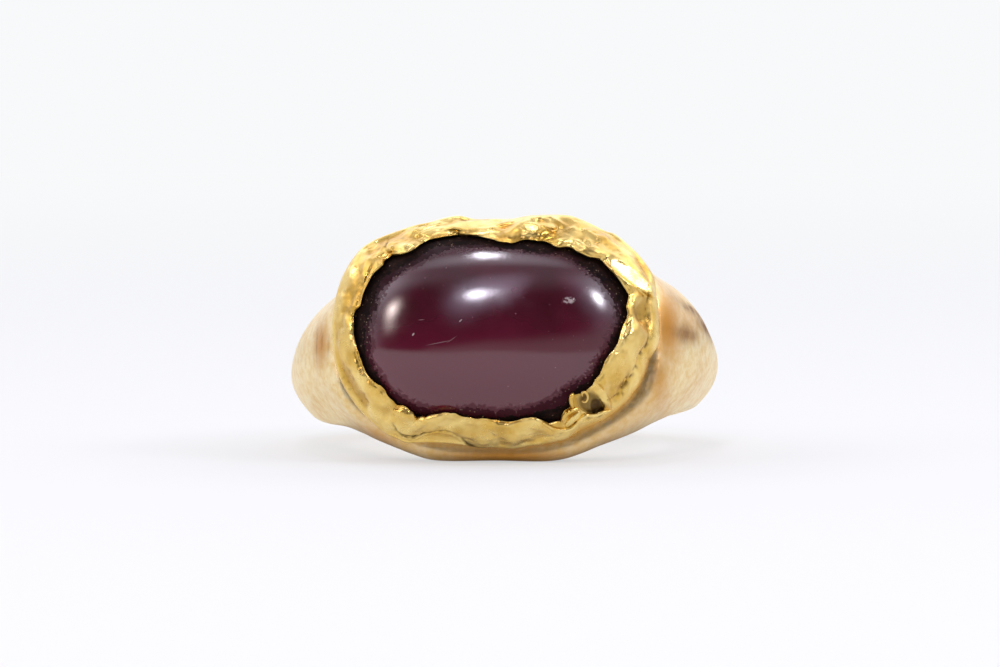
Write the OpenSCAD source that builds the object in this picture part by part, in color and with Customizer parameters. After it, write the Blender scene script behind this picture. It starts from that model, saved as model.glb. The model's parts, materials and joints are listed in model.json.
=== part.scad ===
// Gold finger ring with a domed oval garnet in a collar of pressed sheet gold.
// It lies on its side, on the lower edge of its front plate and the lower edge of its back.

/* [Finger hoop] */
// Diameter of the finger hole
finger_d = 17.3; // [16.7:0.1:17.9]
// Wall at the sides, from the finger hole to the crown
side_wall = 2.8; // [2.6:0.1:3]
// Wall behind the stone, from the finger hole to the flat plate at the front
front_wall = 1.7; // [1.6:0.05:1.8]
// Height of the hoop behind the stone
front_h = 12.5; // [12.4:0.1:12.8]
// Height of the hoop at the back
back_h = 3.7; // [3:0.1:4.4]
// How much lower the hoop is at the finger hole than at its outer corners, on each side
edge_ease = 0.4; // [0.2:0.05:0.5]
// How much of its hand-made sway the hoop keeps, where 1 is as found and 0 is even
side_sway = 1; // [0:0.1:1]

/* [Garnet] */
// Length of the stone, across the finger
stone_l = 15.3; // [15.1:0.1:15.5]
// Width of the stone, along the finger
stone_w = 10.5; // [10.3:0.1:10.6]
// Height of the upright edge below the dome
girdle_h = 0.5; // [0.4:0.05:0.6]
// Height of the dome above that edge
dome_h = 4.1; // [3.8:0.1:4.4]

/* [Collar] */
// Thickness of the sheet gold
sheet = 0.22; // [0.18:0.01:0.26]
// Wall that stands on the plate round the stone
collar_wall = 0.3; // [0.25:0.01:0.32]
// How much the collar's two ends bend back towards the finger
end_bend = 0.35; // [0.2:0.05:0.4]
// How much higher than the middle of the hoop the stone and its collar sit
bezel_rise = 0.35; // [0.2:0.05:0.4]

/* [Hidden] */

gap = 0.06;              // air between two pieces
finger_r = finger_d / 2;
stations = 120;          // sections round the hoop and round the collar
crown_steps = 14;        // steps over the crown from its lower to its upper corner
bore_sides = 96;         // sides of the finger hole where it is drawn as a mesh
stone_sides = 72;        // sides of the stone's outline
dome_rings = 9;          // rings of the dome between its edge and its top
outline_power = 2.4;     // 2 is an ellipse, more is squarer
dome_power = 2.2;        // 2 is an even dome, more is flatter on top
bore_spare = 0.4;        // metal that the finger hole cuts away
plate_round = 0.12;      // how softly the front plate's edge turns into the shoulders

// Hoop sections, from the stone at 0 degrees by the right to the back at 180 and by the left.
// Height is a share, 0 as at the back and 1 as at the front.
// Rise is how far the section's middle stands above the finger hole's, in millimetres.
// Crown and corner are the wall there as shares of side_wall.
// Fullness is the power of the crown's curve, where 2 is round and 7 nearly flat.
// Whatever would stand further forward than the plate is cut flat to it.
AT = 0;
HEIGHT = 1;
RISE = 2;
CROWN = 3;
CORNER = 4;
FULLNESS = 5;
HOOP_SECTIONS = [
  // at, height, rise, crown, corner, fullness
  [0, 1.00, 0.00, 1.30, 0.56, 7.0],
  [14, 1.00, 0.00, 1.36, 0.58, 7.0],
  [20, 0.97, 0.02, 1.42, 0.61, 6.6],
  [25, 0.90, 0.03, 1.50, 0.65, 6.2],
  [30, 0.81, 0.05, 1.60, 0.69, 5.8],
  [37, 0.70, 0.09, 1.71, 0.71, 4.6],
  [43, 0.61, 0.14, 1.64, 0.68, 3.6],
  [52, 0.48, 0.26, 1.43, 0.61, 2.9],
  [64, 0.35, 0.44, 1.21, 0.56, 2.6],
  [77, 0.20, 0.46, 1.05, 0.54, 2.1],
  [90, 0.10, 0.32, 1.00, 0.53, 2.0],
  [112, 0.05, 0.30, 0.88, 0.49, 2.3],
  [145, 0.02, 0.08, 0.69, 0.41, 2.3],
  [180, 0.00, 0.00, 0.59, 0.38, 2.3],
  [215, 0.02, -0.06, 0.69, 0.41, 2.3],
  [248, 0.05, -0.26, 0.88, 0.49, 2.3],
  [270, 0.10, -0.25, 1.00, 0.53, 2.0],
  [283, 0.20, -0.30, 1.05, 0.54, 2.2],
  [296, 0.33, -0.25, 1.21, 0.55, 2.2],
  [308, 0.44, -0.19, 1.42, 0.57, 2.3],
  [317, 0.57, -0.15, 1.64, 0.62, 3.0],
  [323, 0.68, -0.10, 1.71, 0.69, 4.4],
  [330, 0.81, -0.05, 1.60, 0.69, 5.8],
  [335, 0.90, -0.03, 1.50, 0.65, 6.2],
  [340, 0.97, -0.02, 1.42, 0.61, 6.6],
  [346, 1.00, 0.00, 1.36, 0.58, 7.0],
  [360, 1.00, 0.00, 1.30, 0.56, 7.0],
];

// Collar sections, anticlockwise from the right as one faces the stone, in millimetres.
// Edge and lip are the reach of its outer edge and of its torn inner lip.
// Lift is how far the edge is bent forward, and clear how far the lip stands off the stone.
EDGE = 1;
LIP = 2;
LIFT = 3;
CLEAR = 4;
COLLAR_SECTIONS = [
  // at, edge, lip, lift, clear
  [0, 8.50, 6.55, 0.00, 0.15],
  [10, 8.60, 6.95, 0.05, 0.22],
  [20, 8.70, 7.00, 0.10, 0.30],
  [30, 8.40, 6.85, 0.15, 0.30],
  [40, 7.95, 6.35, 0.10, 0.25],
  [50, 7.50, 5.80, 0.10, 0.20],
  [60, 7.15, 5.45, 0.25, 0.20],
  [70, 6.65, 5.10, 0.20, 0.20],
  [80, 6.10, 4.80, 0.05, 0.15],
  [90, 5.85, 4.75, 0.00, 0.15],
  [100, 6.00, 4.95, 0.00, 0.15],
  [110, 6.40, 5.30, 0.05, 0.20],
  [120, 6.85, 5.65, 0.15, 0.30],
  [130, 7.32, 5.90, 0.05, 0.30],
  [140, 8.02, 6.30, 0.00, 0.25],
  [150, 8.58, 6.95, 0.10, 0.30],
  [160, 8.75, 7.20, 0.05, 0.30],
  [170, 8.70, 7.30, 0.00, 0.25],
  [180, 8.55, 7.35, 0.00, 0.20],
  [190, 8.35, 7.15, 0.05, 0.15],
  [200, 8.25, 7.00, 0.05, 0.12],
  [210, 8.05, 6.45, 0.00, 0.10],
  [220, 7.68, 6.00, -0.05, 0.12],
  [230, 7.22, 5.75, 0.05, 0.15],
  [240, 6.58, 4.90, 0.35, 0.10],
  [250, 6.25, 4.85, 0.30, 0.12],
  [260, 6.10, 4.60, 0.05, 0.10],
  [270, 6.10, 4.60, 0.00, 0.10],
  [280, 6.15, 4.75, 0.00, 0.12],
  [290, 6.30, 4.80, 0.05, 0.12],
  [300, 6.50, 5.40, 0.10, 0.15],
  [310, 6.90, 5.75, -0.05, 0.20],
  [320, 6.95, 5.45, -0.10, 0.15],
  [330, 7.40, 5.75, 0.05, 0.12],
  [340, 7.90, 5.95, 0.10, 0.12],
  [350, 8.10, 6.15, 0.05, 0.12],
];

// A smooth curve through one column of a table of sections.
function slope(rows, k, column) =
  k <= 0 || k >= len(rows) - 1 ? 0
  : (rows[k + 1][column] - rows[k - 1][column]) / (rows[k + 1][AT] - rows[k - 1][AT]);
function below(rows, at, k = 0) =
  k >= len(rows) - 2 || rows[k + 1][AT] > at ? k : below(rows, at, k + 1);
function hermite(y0, y1, m0, m1, t) =
  y0 * (1 + 2 * t) * (1 - t) * (1 - t) + m0 * t * (1 - t) * (1 - t)
  + y1 * t * t * (3 - 2 * t) - m1 * t * t * (1 - t);
function between(rows, k, at, column) =
  let (
    step = rows[k + 1][AT] - rows[k][AT],
    t = (at - rows[k][AT]) / step
  )
  hermite(
    rows[k][column],
    rows[k + 1][column],
    slope(rows, k, column) * step,
    slope(rows, k + 1, column) * step,
    t
  );
function curve(rows, at, column) = between(rows, below(rows, at), at, column);

// The collar's table runs full circle, so its first rows are repeated past its last.
function turned(row, by) = [for (k = [0 : len(row) - 1]) k == AT ? row[k] + by : row[k]];
collar_rows = concat(
  [for (k = [len(COLLAR_SECTIONS) - 2 : len(COLLAR_SECTIONS) - 1]) turned(COLLAR_SECTIONS[k], -360)],
  COLLAR_SECTIONS,
  [for (k = [0 : 1]) turned(COLLAR_SECTIONS[k], 360)]
);

function mix(a, b, t) = a * (1 - t) + b * t;
function soft_min(a, b, round) = min(a, b) - round * ln(1 + exp(-abs(a - b) / round));

// The ring's own axes: X to the right, Y away from the stone, Z along the finger.
// Forward is the distance from the finger's axis towards the stone, which is -Y.

// Hoop
function hoop_half_h(at) = back_h / 2 + curve(HOOP_SECTIONS, at, HEIGHT) * (front_h - back_h) / 2;
function hoop_crown(at) = finger_r + side_wall * curve(HOOP_SECTIONS, at, CROWN);
function hoop_corner(at) = finger_r + side_wall * curve(HOOP_SECTIONS, at, CORNER);
crown_shares = [for (k = [0 : crown_steps]) sin(mix(-90, 90, k / crown_steps))];
function crown_point(at, share) =
  [
    mix(hoop_crown(at), hoop_corner(at), pow(abs(share), curve(HOOP_SECTIONS, at, FULLNESS))),
    share * hoop_half_h(at)
  ];
function hoop_section(at) =
  let (inside = finger_r - bore_spare, half = hoop_half_h(at) - edge_ease)
  concat(
    [[inside, half], [inside, -half]],
    [for (share = crown_shares) crown_point(at, share)]
  );
plate_f = finger_r + front_wall;
function on_hoop(at, p) =
  [
    p[0] * sin(at),
    -soft_min(p[0] * cos(at), plate_f, plate_round),
    p[1] + side_sway * curve(HOOP_SECTIONS, at, RISE)
  ];
hoop_sections = [
  for (k = [0 : stations - 1])
    let (at = 360 * k / stations)
    [for (p = hoop_section(at)) on_hoop(at, p)]
];

// Stone
stone_a = stone_l / 2;
stone_b = stone_w / 2;
seat_f = plate_f + gap;
girdle_f = seat_f + girdle_h;
function outline_r(at) =
  pow(
    pow(abs(cos(at)) / stone_a, outline_power) + pow(abs(sin(at)) / stone_b, outline_power),
    -1 / outline_power
  );
function share_out(p) =
  pow(
    pow(abs(p[0]) / stone_a, outline_power) + pow(abs(p[1]) / stone_b, outline_power),
    1 / outline_power
  );
function dome_rise(share) = sqrt(max(0, 1 - pow(min(1, share), dome_power)));
function dome_f(share) = girdle_f + dome_h * dome_rise(share);
function on_bezel(p, f) = [p[0], -f, p[1] + bezel_rise];
function towards(at, r) = [r * cos(at), r * sin(at)];
function stone_ring(share, f) =
  [
    for (k = [0 : stone_sides - 1])
      let (at = 360 * k / stone_sides)
      on_bezel(towards(at, share * outline_r(at)), f)
  ];
stone_rings = concat(
  [stone_ring(1, seat_f), stone_ring(1, girdle_f)],
  [
    for (k = [1 : dome_rings])
      let (share = cos(90 * k / (dome_rings + 1)))
      stone_ring(share, dome_f(share))
  ]
);
stone_top = on_bezel([0, 0], dome_f(0));

// Collar
lip_drop = 0.18;         // the torn opening lies a little lower than the outer edge
lip_hold = 0.97;         // the lip always reaches over the stone's edge
edge_f = plate_f + 0.45; // the collar's outer edge
edge_clear = 0.12;       // and the least it stands off the plate
foot_r = gap + collar_wall;
face_shares = [0.15, 0.4, 0.75];
face_rises = [0.36, 0.68, 0.95];
face_room = 0.2;         // the least that the face's back keeps off the dome
under_shares = [0.5, 0.82];
under_room = 0.13;       // how far the lip's underside stays off the dome
wall_top = 0.3;          // how far the standing wall's inner corner is above the stone's upright edge
root_rise = 0.7;         // where the free edge leaves the standing wall
function edge_reach(at) = max(curve(collar_rows, at, EDGE), outline_r(at) + foot_r + gap);
function lip_point(at) = towards(at, curve(collar_rows, at, LIP)) - [0, lip_drop];
function held(p) = p * min(1, lip_hold / share_out(p));
function off_dome(p, room) = dome_f(share_out(p)) + room;
function edge_forward(at) =
  max(
    plate_f + edge_clear,
    edge_f + curve(collar_rows, at, LIFT) - end_bend * pow(edge_reach(at) * cos(at) / stone_a, 2)
  );
function collar_section(at) =
  let (
    edge = towards(at, edge_reach(at)),
    lip = held(lip_point(at)),
    inner = towards(at, outline_r(at) + gap),
    outer = towards(at, outline_r(at) + foot_r),
    rim = towards(at, outline_r(at)),
    low = edge_forward(at),
    high = off_dome(lip, curve(collar_rows, at, CLEAR))
  )
  concat(
    [on_bezel(edge, low), on_bezel(edge, low + sheet)],
    [
      for (k = [0 : len(face_shares) - 1])
        let (p = mix(edge, lip, face_shares[k]))
        on_bezel(p, max(mix(low, high, face_rises[k]), off_dome(p, face_room)) + sheet)
    ],
    [on_bezel(lip, high + sheet), on_bezel(lip, high)],
    [for (share = under_shares) let (p = mix(lip, rim, share)) on_bezel(p, off_dome(p, under_room))],
    [
      on_bezel(inner, girdle_f + wall_top),
      on_bezel(inner, seat_f),
      on_bezel(outer, seat_f),
      on_bezel(outer, mix(seat_f, low, root_rise))
    ]
  );
collar_sections = [for (k = [0 : stations - 1]) collar_section(360 * k / stations)];

// The pose at rest: the tilt at which the front and the back of the hoop are equally low,
// found between level and steepest by halving that span again and again.
steepest = 45;
halvings = 24;
front_points = [for (s = hoop_sections) for (p = s) if (p[1] < 0) p];
back_points = [for (s = hoop_sections) for (p = s) if (p[1] >= 0) p];
function lowest(points, tilt) = min([for (p = points) p[2] * cos(tilt) - p[1] * sin(tilt)]);
function level(low, high, steps) =
  let (tilt = (low + high) / 2)
  steps == 0 ? tilt
  : lowest(front_points, tilt) < lowest(back_points, tilt) ? level(tilt, high, steps - 1)
  : level(low, tilt, steps - 1);
rest_tilt = level(0, steepest, halvings);
rest_low = lowest(back_points, rest_tilt);
function turned_y(p) = p[1] * cos(rest_tilt) + p[2] * sin(rest_tilt);
rest_front = min(concat([for (ring = stone_rings) for (p = ring) turned_y(p)], turned_y(stone_top)));
rest_back = max([for (p = back_points) turned_y(p)]);

module at_rest() {
  translate([0, -(rest_front + rest_back) / 2, -rest_low])
    rotate([-rest_tilt, 0, 0])
      children();
}

// A closed tube through rings of points, joined end to end.
module loop_of(sections) {
  rings = len(sections);
  sides = len(sections[0]);
  polyhedron(
    points = [for (s = sections) for (p = s) p],
    faces = [
      for (i = [0 : rings - 1])
        for (j = [0 : sides - 1])
          let (
            i2 = (i + 1) % rings,
            j2 = (j + 1) % sides,
            a = i * sides + j,
            b = i2 * sides + j,
            c = i2 * sides + j2,
            d = i * sides + j2
          )
          each [[a, b, c], [a, c, d]]
    ]
  );
}

// A closed body through rings of points, with a flat first end and a point at its top.
module dome_of(rings, top) {
  count = len(rings);
  sides = len(rings[0]);
  polyhedron(
    points = concat([for (ring = rings) for (p = ring) p], [top]),
    faces = concat(
      [[for (j = [0 : sides - 1]) sides - 1 - j]],
      [
        for (i = [0 : count - 2])
          for (j = [0 : sides - 1])
            let (
              j2 = (j + 1) % sides,
              a = i * sides + j,
              b = i * sides + j2,
              c = (i + 1) * sides + j2,
              d = (i + 1) * sides + j
            )
            each [[a, b, c], [a, c, d]]
      ],
      [
        for (j = [0 : sides - 1])
          [(count - 1) * sides + j, (count - 1) * sides + (j + 1) % sides, count * sides]
      ]
    )
  );
}

module hoop() {
  color("#d2a85a")
    at_rest()
      difference() {
        loop_of(hoop_sections);
        cylinder(h = front_h * 2, d = finger_d, center = true, $fn = bore_sides);
      }
}

module collar() {
  color("#d9b23c")
    at_rest()
      loop_of(collar_sections);
}

module garnet() {
  color("#5a1530")
    at_rest()
      dome_of(stone_rings, stone_top);
}

hoop();
collar();
garnet();
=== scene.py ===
"""Gold finger ring with a domed oval garnet in a collar of crumpled sheet gold, lying on its side."""

import json
import logging
import math
from dataclasses import dataclass
from enum import Enum
from typing import ClassVar

import bpy
import numpy as np
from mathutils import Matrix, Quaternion, Vector

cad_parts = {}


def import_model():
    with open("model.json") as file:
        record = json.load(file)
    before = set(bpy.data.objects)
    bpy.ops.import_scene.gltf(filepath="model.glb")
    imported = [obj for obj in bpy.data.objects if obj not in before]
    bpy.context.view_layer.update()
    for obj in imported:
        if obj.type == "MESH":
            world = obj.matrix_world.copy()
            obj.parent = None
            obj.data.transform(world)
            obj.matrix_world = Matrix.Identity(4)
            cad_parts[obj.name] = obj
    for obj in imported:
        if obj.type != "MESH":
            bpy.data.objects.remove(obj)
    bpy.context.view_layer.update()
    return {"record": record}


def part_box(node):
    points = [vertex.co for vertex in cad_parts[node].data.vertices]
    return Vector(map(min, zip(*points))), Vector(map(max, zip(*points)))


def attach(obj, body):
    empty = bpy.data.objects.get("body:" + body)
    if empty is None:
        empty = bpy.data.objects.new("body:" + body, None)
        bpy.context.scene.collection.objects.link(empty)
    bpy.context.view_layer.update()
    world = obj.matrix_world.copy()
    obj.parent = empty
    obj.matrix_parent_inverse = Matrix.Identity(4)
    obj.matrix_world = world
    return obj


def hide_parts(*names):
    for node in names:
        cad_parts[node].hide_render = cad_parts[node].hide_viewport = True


Array = np.ndarray
Rows = list[tuple[float, ...]]
Socket = bpy.types.NodeSocket
Inputs = dict[int | str, object]
Thing = bpy.types.Object
Tree = bpy.types.NodeTree

MM = 0.001
LOG = logging.getLogger("garnet_ring")


def linear(code: str) -> tuple[float, float, float, float]:
    """Turn an sRGB hex colour into the linear colour that a shader takes.

    Args:
        code: the colour as "#rrggbb".

    Returns:
        Red, green, blue and alpha, linear.
    """
    parts = [int(code[k : k + 2], 16) / 255 for k in (1, 3, 5)]
    flat = [c / 12.92 if c <= 0.04045 else ((c + 0.055) / 1.055) ** 2.4 for c in parts]
    return (flat[0], flat[1], flat[2], 1.0)


def add_node(
    tree: Tree, kind: str, inputs: Inputs | None = None, out: int | str = 0, **settings: object
) -> Socket | None:
    """Add a shader node with its settings, values and links.

    Args:
        tree: the node tree.
        kind: the node's type, without the word ShaderNode in front.
        inputs: for each input, by name or number, a value or the socket that feeds it.
        out: the output to give back, by name or number.
        **settings: the node's own settings; stops is a colour ramp's list of (place, hex colour).

    Returns:
        The output's socket, or None for a node without outputs.
    """
    made = tree.nodes.new("ShaderNode" + kind)
    stops = settings.pop("stops", [])
    for name, value in settings.items():
        setattr(made, name, value)
    for key, value in (inputs or {}).items():
        if isinstance(value, Socket):
            tree.links.new(value, made.inputs[key])
        else:
            made.inputs[key].default_value = value
    for k, (place, code) in enumerate(stops):
        made.color_ramp.elements[k].position = place
        made.color_ramp.elements[k].color = linear(code)
    return made.outputs[out] if made.outputs else None


def fresh_tree(owner: bpy.types.ID) -> Tree:
    """Give a material, a light or the world an empty node tree.

    Args:
        owner: the material, light or world.

    Returns:
        Its node tree.
    """
    owner.use_nodes = True
    owner.node_tree.nodes.clear()
    return owner.node_tree


def mix_of(a: Array, b: Array, t: Array) -> Array:
    """Blend from a to b by the share t."""
    return a * (1 - t) + b * t


def smooth_step(low: float, high: float, x: Array) -> Array:
    """Rise softly from 0 at low to 1 at high."""
    t = np.clip((x - low) / (high - low), 0, 1)
    return t * t * (3 - 2 * t)


@dataclass(frozen=True)
class Curve:
    """A smooth curve through measured rows, as the part's source draws it."""

    at: Array
    value: Array

    @classmethod
    def through(cls, rows: Rows, column: int = 1, turns: bool = False) -> "Curve":
        """Make the curve of one column of a table.

        Args:
            rows: the table, with the place in its first column.
            column: the column to follow.
            turns: whether the table runs full circle and is joined to its own start.

        Returns:
            The curve.
        """
        table = np.array([(row[0], row[column]) for row in rows], float)
        if turns:
            table = np.concatenate([table[-2:] - (360, 0), table, table[:2] + (360, 0)])
        return cls(table[:, 0], table[:, 1])

    def __call__(self, at: Array) -> Array:
        """Read the curve at each place.

        Args:
            at: the places.

        Returns:
            One value a place.
        """
        at = np.asarray(at, float)
        slope = np.zeros(len(self.at))
        slope[1:-1] = (self.value[2:] - self.value[:-2]) / (self.at[2:] - self.at[:-2])
        k = np.clip(np.searchsorted(self.at, at, side="right") - 1, 0, len(self.at) - 2)
        step = self.at[k + 1] - self.at[k]
        t = (at - self.at[k]) / step
        return (
            self.value[k] * (1 + 2 * t) * (1 - t) ** 2
            + slope[k] * step * t * (1 - t) ** 2
            + self.value[k + 1] * t * t * (3 - 2 * t)
            - slope[k + 1] * step * t * t * (1 - t)
        )


@dataclass(frozen=True)
class Grain:
    """Seeded noise in space, for hand-worked and crumpled metal."""

    seed: int

    # big numbers without common factors, which scramble a cell's three whole numbers
    SCRAMBLE = (73856093, 19349663, 83492791)

    def _corner(self, cell: Array, turn: int) -> Array:
        """Give a steady random number from 0 to 1 for each whole-number cell.

        Args:
            cell: the cells, each three whole numbers.
            turn: which of a cell's random numbers to give.

        Returns:
            One number a cell.
        """
        n = np.bitwise_xor.reduce(cell * self.SCRAMBLE, axis=-1)
        n = (n + self.seed * 1013904223 + turn * 69069) & 0x7FFFFFFF
        n = ((n >> 13) ^ n) * 60493 & 0x7FFFFFFF
        n = ((n >> 11) ^ n) * 19990303 & 0x7FFFFFFF
        return ((n >> 7) & 0xFFFF) / 65535.0

    def smooth(self, points: Array, size: float) -> Array:
        """Give soft noise from -1 to 1.

        Args:
            points: places in millimetres.
            size: the size of one bump in millimetres.

        Returns:
            One value a point.
        """
        p = points / size
        low = np.floor(p).astype(np.int64)
        t = p - low
        w = t * t * t * (t * (t * 6 - 15) + 10)
        total = np.zeros(len(points))
        for corner in np.ndindex(2, 2, 2):
            cell = low + np.array(corner)
            away = t - np.array(corner)
            turned = self._corner(cell, 1) * 2 * math.pi
            height = self._corner(cell, 2) * 2 - 1
            flat = np.sqrt(1 - height * height)
            pull = away[:, 0] * flat * np.cos(turned) + away[:, 1] * flat * np.sin(turned)
            pull += away[:, 2] * height
            share = np.prod(np.where(np.array(corner) == 1, w, 1 - w), axis=1)
            total += share * pull
        return np.clip(total * 1.6, -1, 1)

    def facets(self, points: Array, size: float, slope: float, crisp: float) -> Array:
        """Give the heights of a surface of tilted flats that meet in soft folds.

        Args:
            points: places in millimetres.
            size: the usual size of a flat in millimetres.
            slope: how steeply the flats tilt at most.
            crisp: how crisp the folds between them are.

        Returns:
            One height in millimetres a point.
        """
        p = points / size
        low = np.floor(p).astype(np.int64)
        weight = np.full(len(points), 1e-12)
        height = np.zeros(len(points))
        for corner in np.ndindex(3, 3, 3):
            cell = low + np.array(corner) - 1
            seed = cell + np.stack([self._corner(cell, 3 + k) for k in range(3)], axis=-1)
            tilt = np.stack([self._corner(cell, 8 + k) * 2 - 1 for k in range(3)], axis=-1)
            away = p - seed
            near = np.exp(-crisp * np.sum(away * away, axis=1))
            weight += near
            height += near * np.sum(tilt * away, axis=1)
        return height / weight * slope * size


@dataclass(frozen=True)
class RingAxes:
    """The ring's own axes in the row frame: across, along the finger and forward to the stone."""

    origin: tuple[float, float, float]
    along: tuple[float, float, float]

    @classmethod
    def of_record(cls, record: dict) -> "RingAxes":
        """Read the axes from the finger hole's mount.

        Args:
            record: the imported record.

        Returns:
            The ring's axes, with the origin in millimetres.
        """
        mount = next(m for m in record["mounts"] if m["name"] == "finger_hole")
        return cls(tuple(c / MM for c in mount["pos_m"]), tuple(mount["axis"]))

    def placed(self, across: Array, forward: Array, along: Array) -> Array:
        """Turn places on the ring's own axes into places in the row frame.

        Args:
            across: millimetres to the right.
            forward: millimetres from the finger's axis towards the stone.
            along: millimetres along the finger.

        Returns:
            An array of places in metres, one row a point.
        """
        front = np.array([0.0, -self.along[2], self.along[1]])
        right = np.stack([across, across * 0, across * 0], axis=-1)
        place = np.array(self.origin) + right + forward[..., None] * front
        return (place + along[..., None] * np.array(self.along)) * MM


def put_down() -> None:
    """Leave nothing selected."""
    if bpy.context.object and bpy.context.object.mode != "OBJECT":
        bpy.ops.object.mode_set(mode="OBJECT")
    bpy.ops.object.select_all(action="DESELECT")


def started(name: str) -> Thing:
    """Name the primitive that was just added, and its mesh.

    Args:
        name: the name for both.

    Returns:
        The object.
    """
    made = bpy.context.object
    made.name = made.data.name = name
    return made


def corners_of(piece: Thing) -> Array:
    """Read where every corner of a mesh is.

    Args:
        piece: the mesh object.

    Returns:
        Rows of x, y and z in metres.
    """
    flat = np.zeros(len(piece.data.vertices) * 3, np.float32)
    piece.data.vertices.foreach_get("co", flat)
    return flat.reshape(-1, 3).astype(float)


def reshape(piece: Thing, places: Array) -> None:
    """Move every corner of a mesh to its place in metres."""
    piece.data.vertices.foreach_set("co", places.reshape(-1).astype(np.float32))
    piece.data.update()


def note(piece: Thing, name: str, values: Array) -> None:
    """Store one number a corner, for the materials to read."""
    layer = piece.data.attributes.new(name, "FLOAT", "POINT")
    layer.data.foreach_set("value", values.reshape(-1).astype(np.float32))


def spun_blank(name: str, stations: int, sides: int) -> tuple[Thing, Array, Array]:
    """Spin a round section into a closed band, ready to be worked section by section.

    Args:
        name: the piece's name.
        stations: sections round the band.
        sides: corners round one section.

    Returns:
        The band, and for each of its corners the number of its station and of its side.
    """
    put_down()
    upright = (math.pi / 2, 0, 0)
    bpy.ops.mesh.primitive_circle_add(vertices=sides, radius=0.3, location=(1, 0, 0), rotation=upright)
    band = started(name)
    bpy.ops.object.transform_apply(location=True, rotation=True, scale=True)
    bpy.ops.object.mode_set(mode="EDIT")
    bpy.ops.mesh.select_all(action="SELECT")
    bpy.ops.mesh.spin(steps=stations // 4, angle=2 * math.pi, center=(0, 0, 0), axis=(0, 0, 1))
    bpy.ops.mesh.select_all(action="SELECT")
    bpy.ops.mesh.remove_doubles(threshold=0.0001)
    bpy.ops.mesh.select_mode(use_extend=False, use_expand=False, type="EDGE")
    bpy.ops.mesh.select_all(action="DESELECT")
    bpy.ops.object.mode_set(mode="OBJECT")
    # the edges that run round the band are cut in four, which is quicker than a finer spin
    at = corners_of(band)
    turn = np.arctan2(at[:, 1], at[:, 0])
    ends = np.zeros(len(band.data.edges) * 2, np.int32)
    band.data.edges.foreach_get("vertices", ends)
    apart = np.cos(turn[ends[0::2]] - turn[ends[1::2]]) < math.cos(math.pi / stations)
    band.data.edges.foreach_set("select", apart)
    bpy.ops.object.mode_set(mode="EDIT")
    bpy.ops.mesh.subdivide(number_cuts=3)
    bpy.ops.mesh.select_mode(use_extend=False, use_expand=False, type="VERT")
    bpy.ops.object.mode_set(mode="OBJECT")
    at = corners_of(band)
    station = np.round(np.arctan2(at[:, 1], at[:, 0]) / (2 * math.pi) * stations).astype(int) % stations
    side = np.arctan2(at[:, 2], np.hypot(at[:, 0], at[:, 1]) - 1) / (2 * math.pi) * sides
    return band, station, np.round(side - sides / 4).astype(int) % sides


def settle(piece: Thing) -> None:
    """Bake the object's place into its mesh, turn its faces outwards and shade it smooth.

    Args:
        piece: the modelled object.
    """
    put_down()
    piece.select_set(True)
    bpy.context.view_layer.objects.active = piece
    bpy.ops.object.transform_apply(location=True, rotation=True, scale=True)
    bpy.ops.object.mode_set(mode="EDIT")
    bpy.ops.mesh.select_all(action="SELECT")
    bpy.ops.mesh.normals_make_consistent(inside=False)
    bpy.ops.object.mode_set(mode="OBJECT")
    bpy.ops.object.shade_smooth()
    put_down()


@dataclass(frozen=True)
class Finish:
    """A finish of the ring, whose patterns are drawn in millimetres on the piece's own coordinates."""

    name: str

    def surface(self, tree: Tree, mm: Socket) -> dict[str, object]:
        """Draw the surface, which each finish does in its own way.

        Args:
            tree: the material's node tree.
            mm: the socket with the place in millimetres.

        Returns:
            The shader's inputs by name.
        """
        raise NotImplementedError

    def material(self) -> bpy.types.Material:
        """Build the finish.

        Returns:
            The node material.
        """
        made = bpy.data.materials.new(self.name)
        tree = fresh_tree(made)
        where = add_node(tree, "TexCoord", out="Object")
        mm = add_node(tree, "VectorMath", {0: where, "Scale": 1 / MM}, operation="SCALE")
        shader = add_node(tree, "BsdfPrincipled", self.surface(tree, mm))
        add_node(tree, "OutputMaterial", {0: shader})
        return made

    @staticmethod
    def dust_specks(
        tree: Tree, mm: Socket, apart: float, reach: tuple[float, float], chosen: tuple[float, float]
    ) -> Socket:
        """Scatter pale specks at random places, some stronger than others.

        Args:
            tree: the material's node tree.
            mm: the socket with the place in millimetres.
            apart: the usual distance between two specks in millimetres.
            reach: how far out a speck starts and how far out it is full, as shares of that distance.
            chosen: the random numbers from which specks show at all and in full.

        Returns:
            The socket that is 1 on a full speck and 0 between them.
        """
        specks = add_node(tree, "TexVoronoi", {"Vector": mm, "Scale": 1 / apart}, "Distance")
        speck = add_node(tree, "MapRange", {0: specks, 1: reach[0], 2: reach[1]})
        shown = add_node(tree, "MapRange", {0: specks.node.outputs["Color"], 1: chosen[0], 2: chosen[1]})
        return add_node(tree, "Math", {0: speck, 1: shown}, operation="MULTIPLY")


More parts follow.
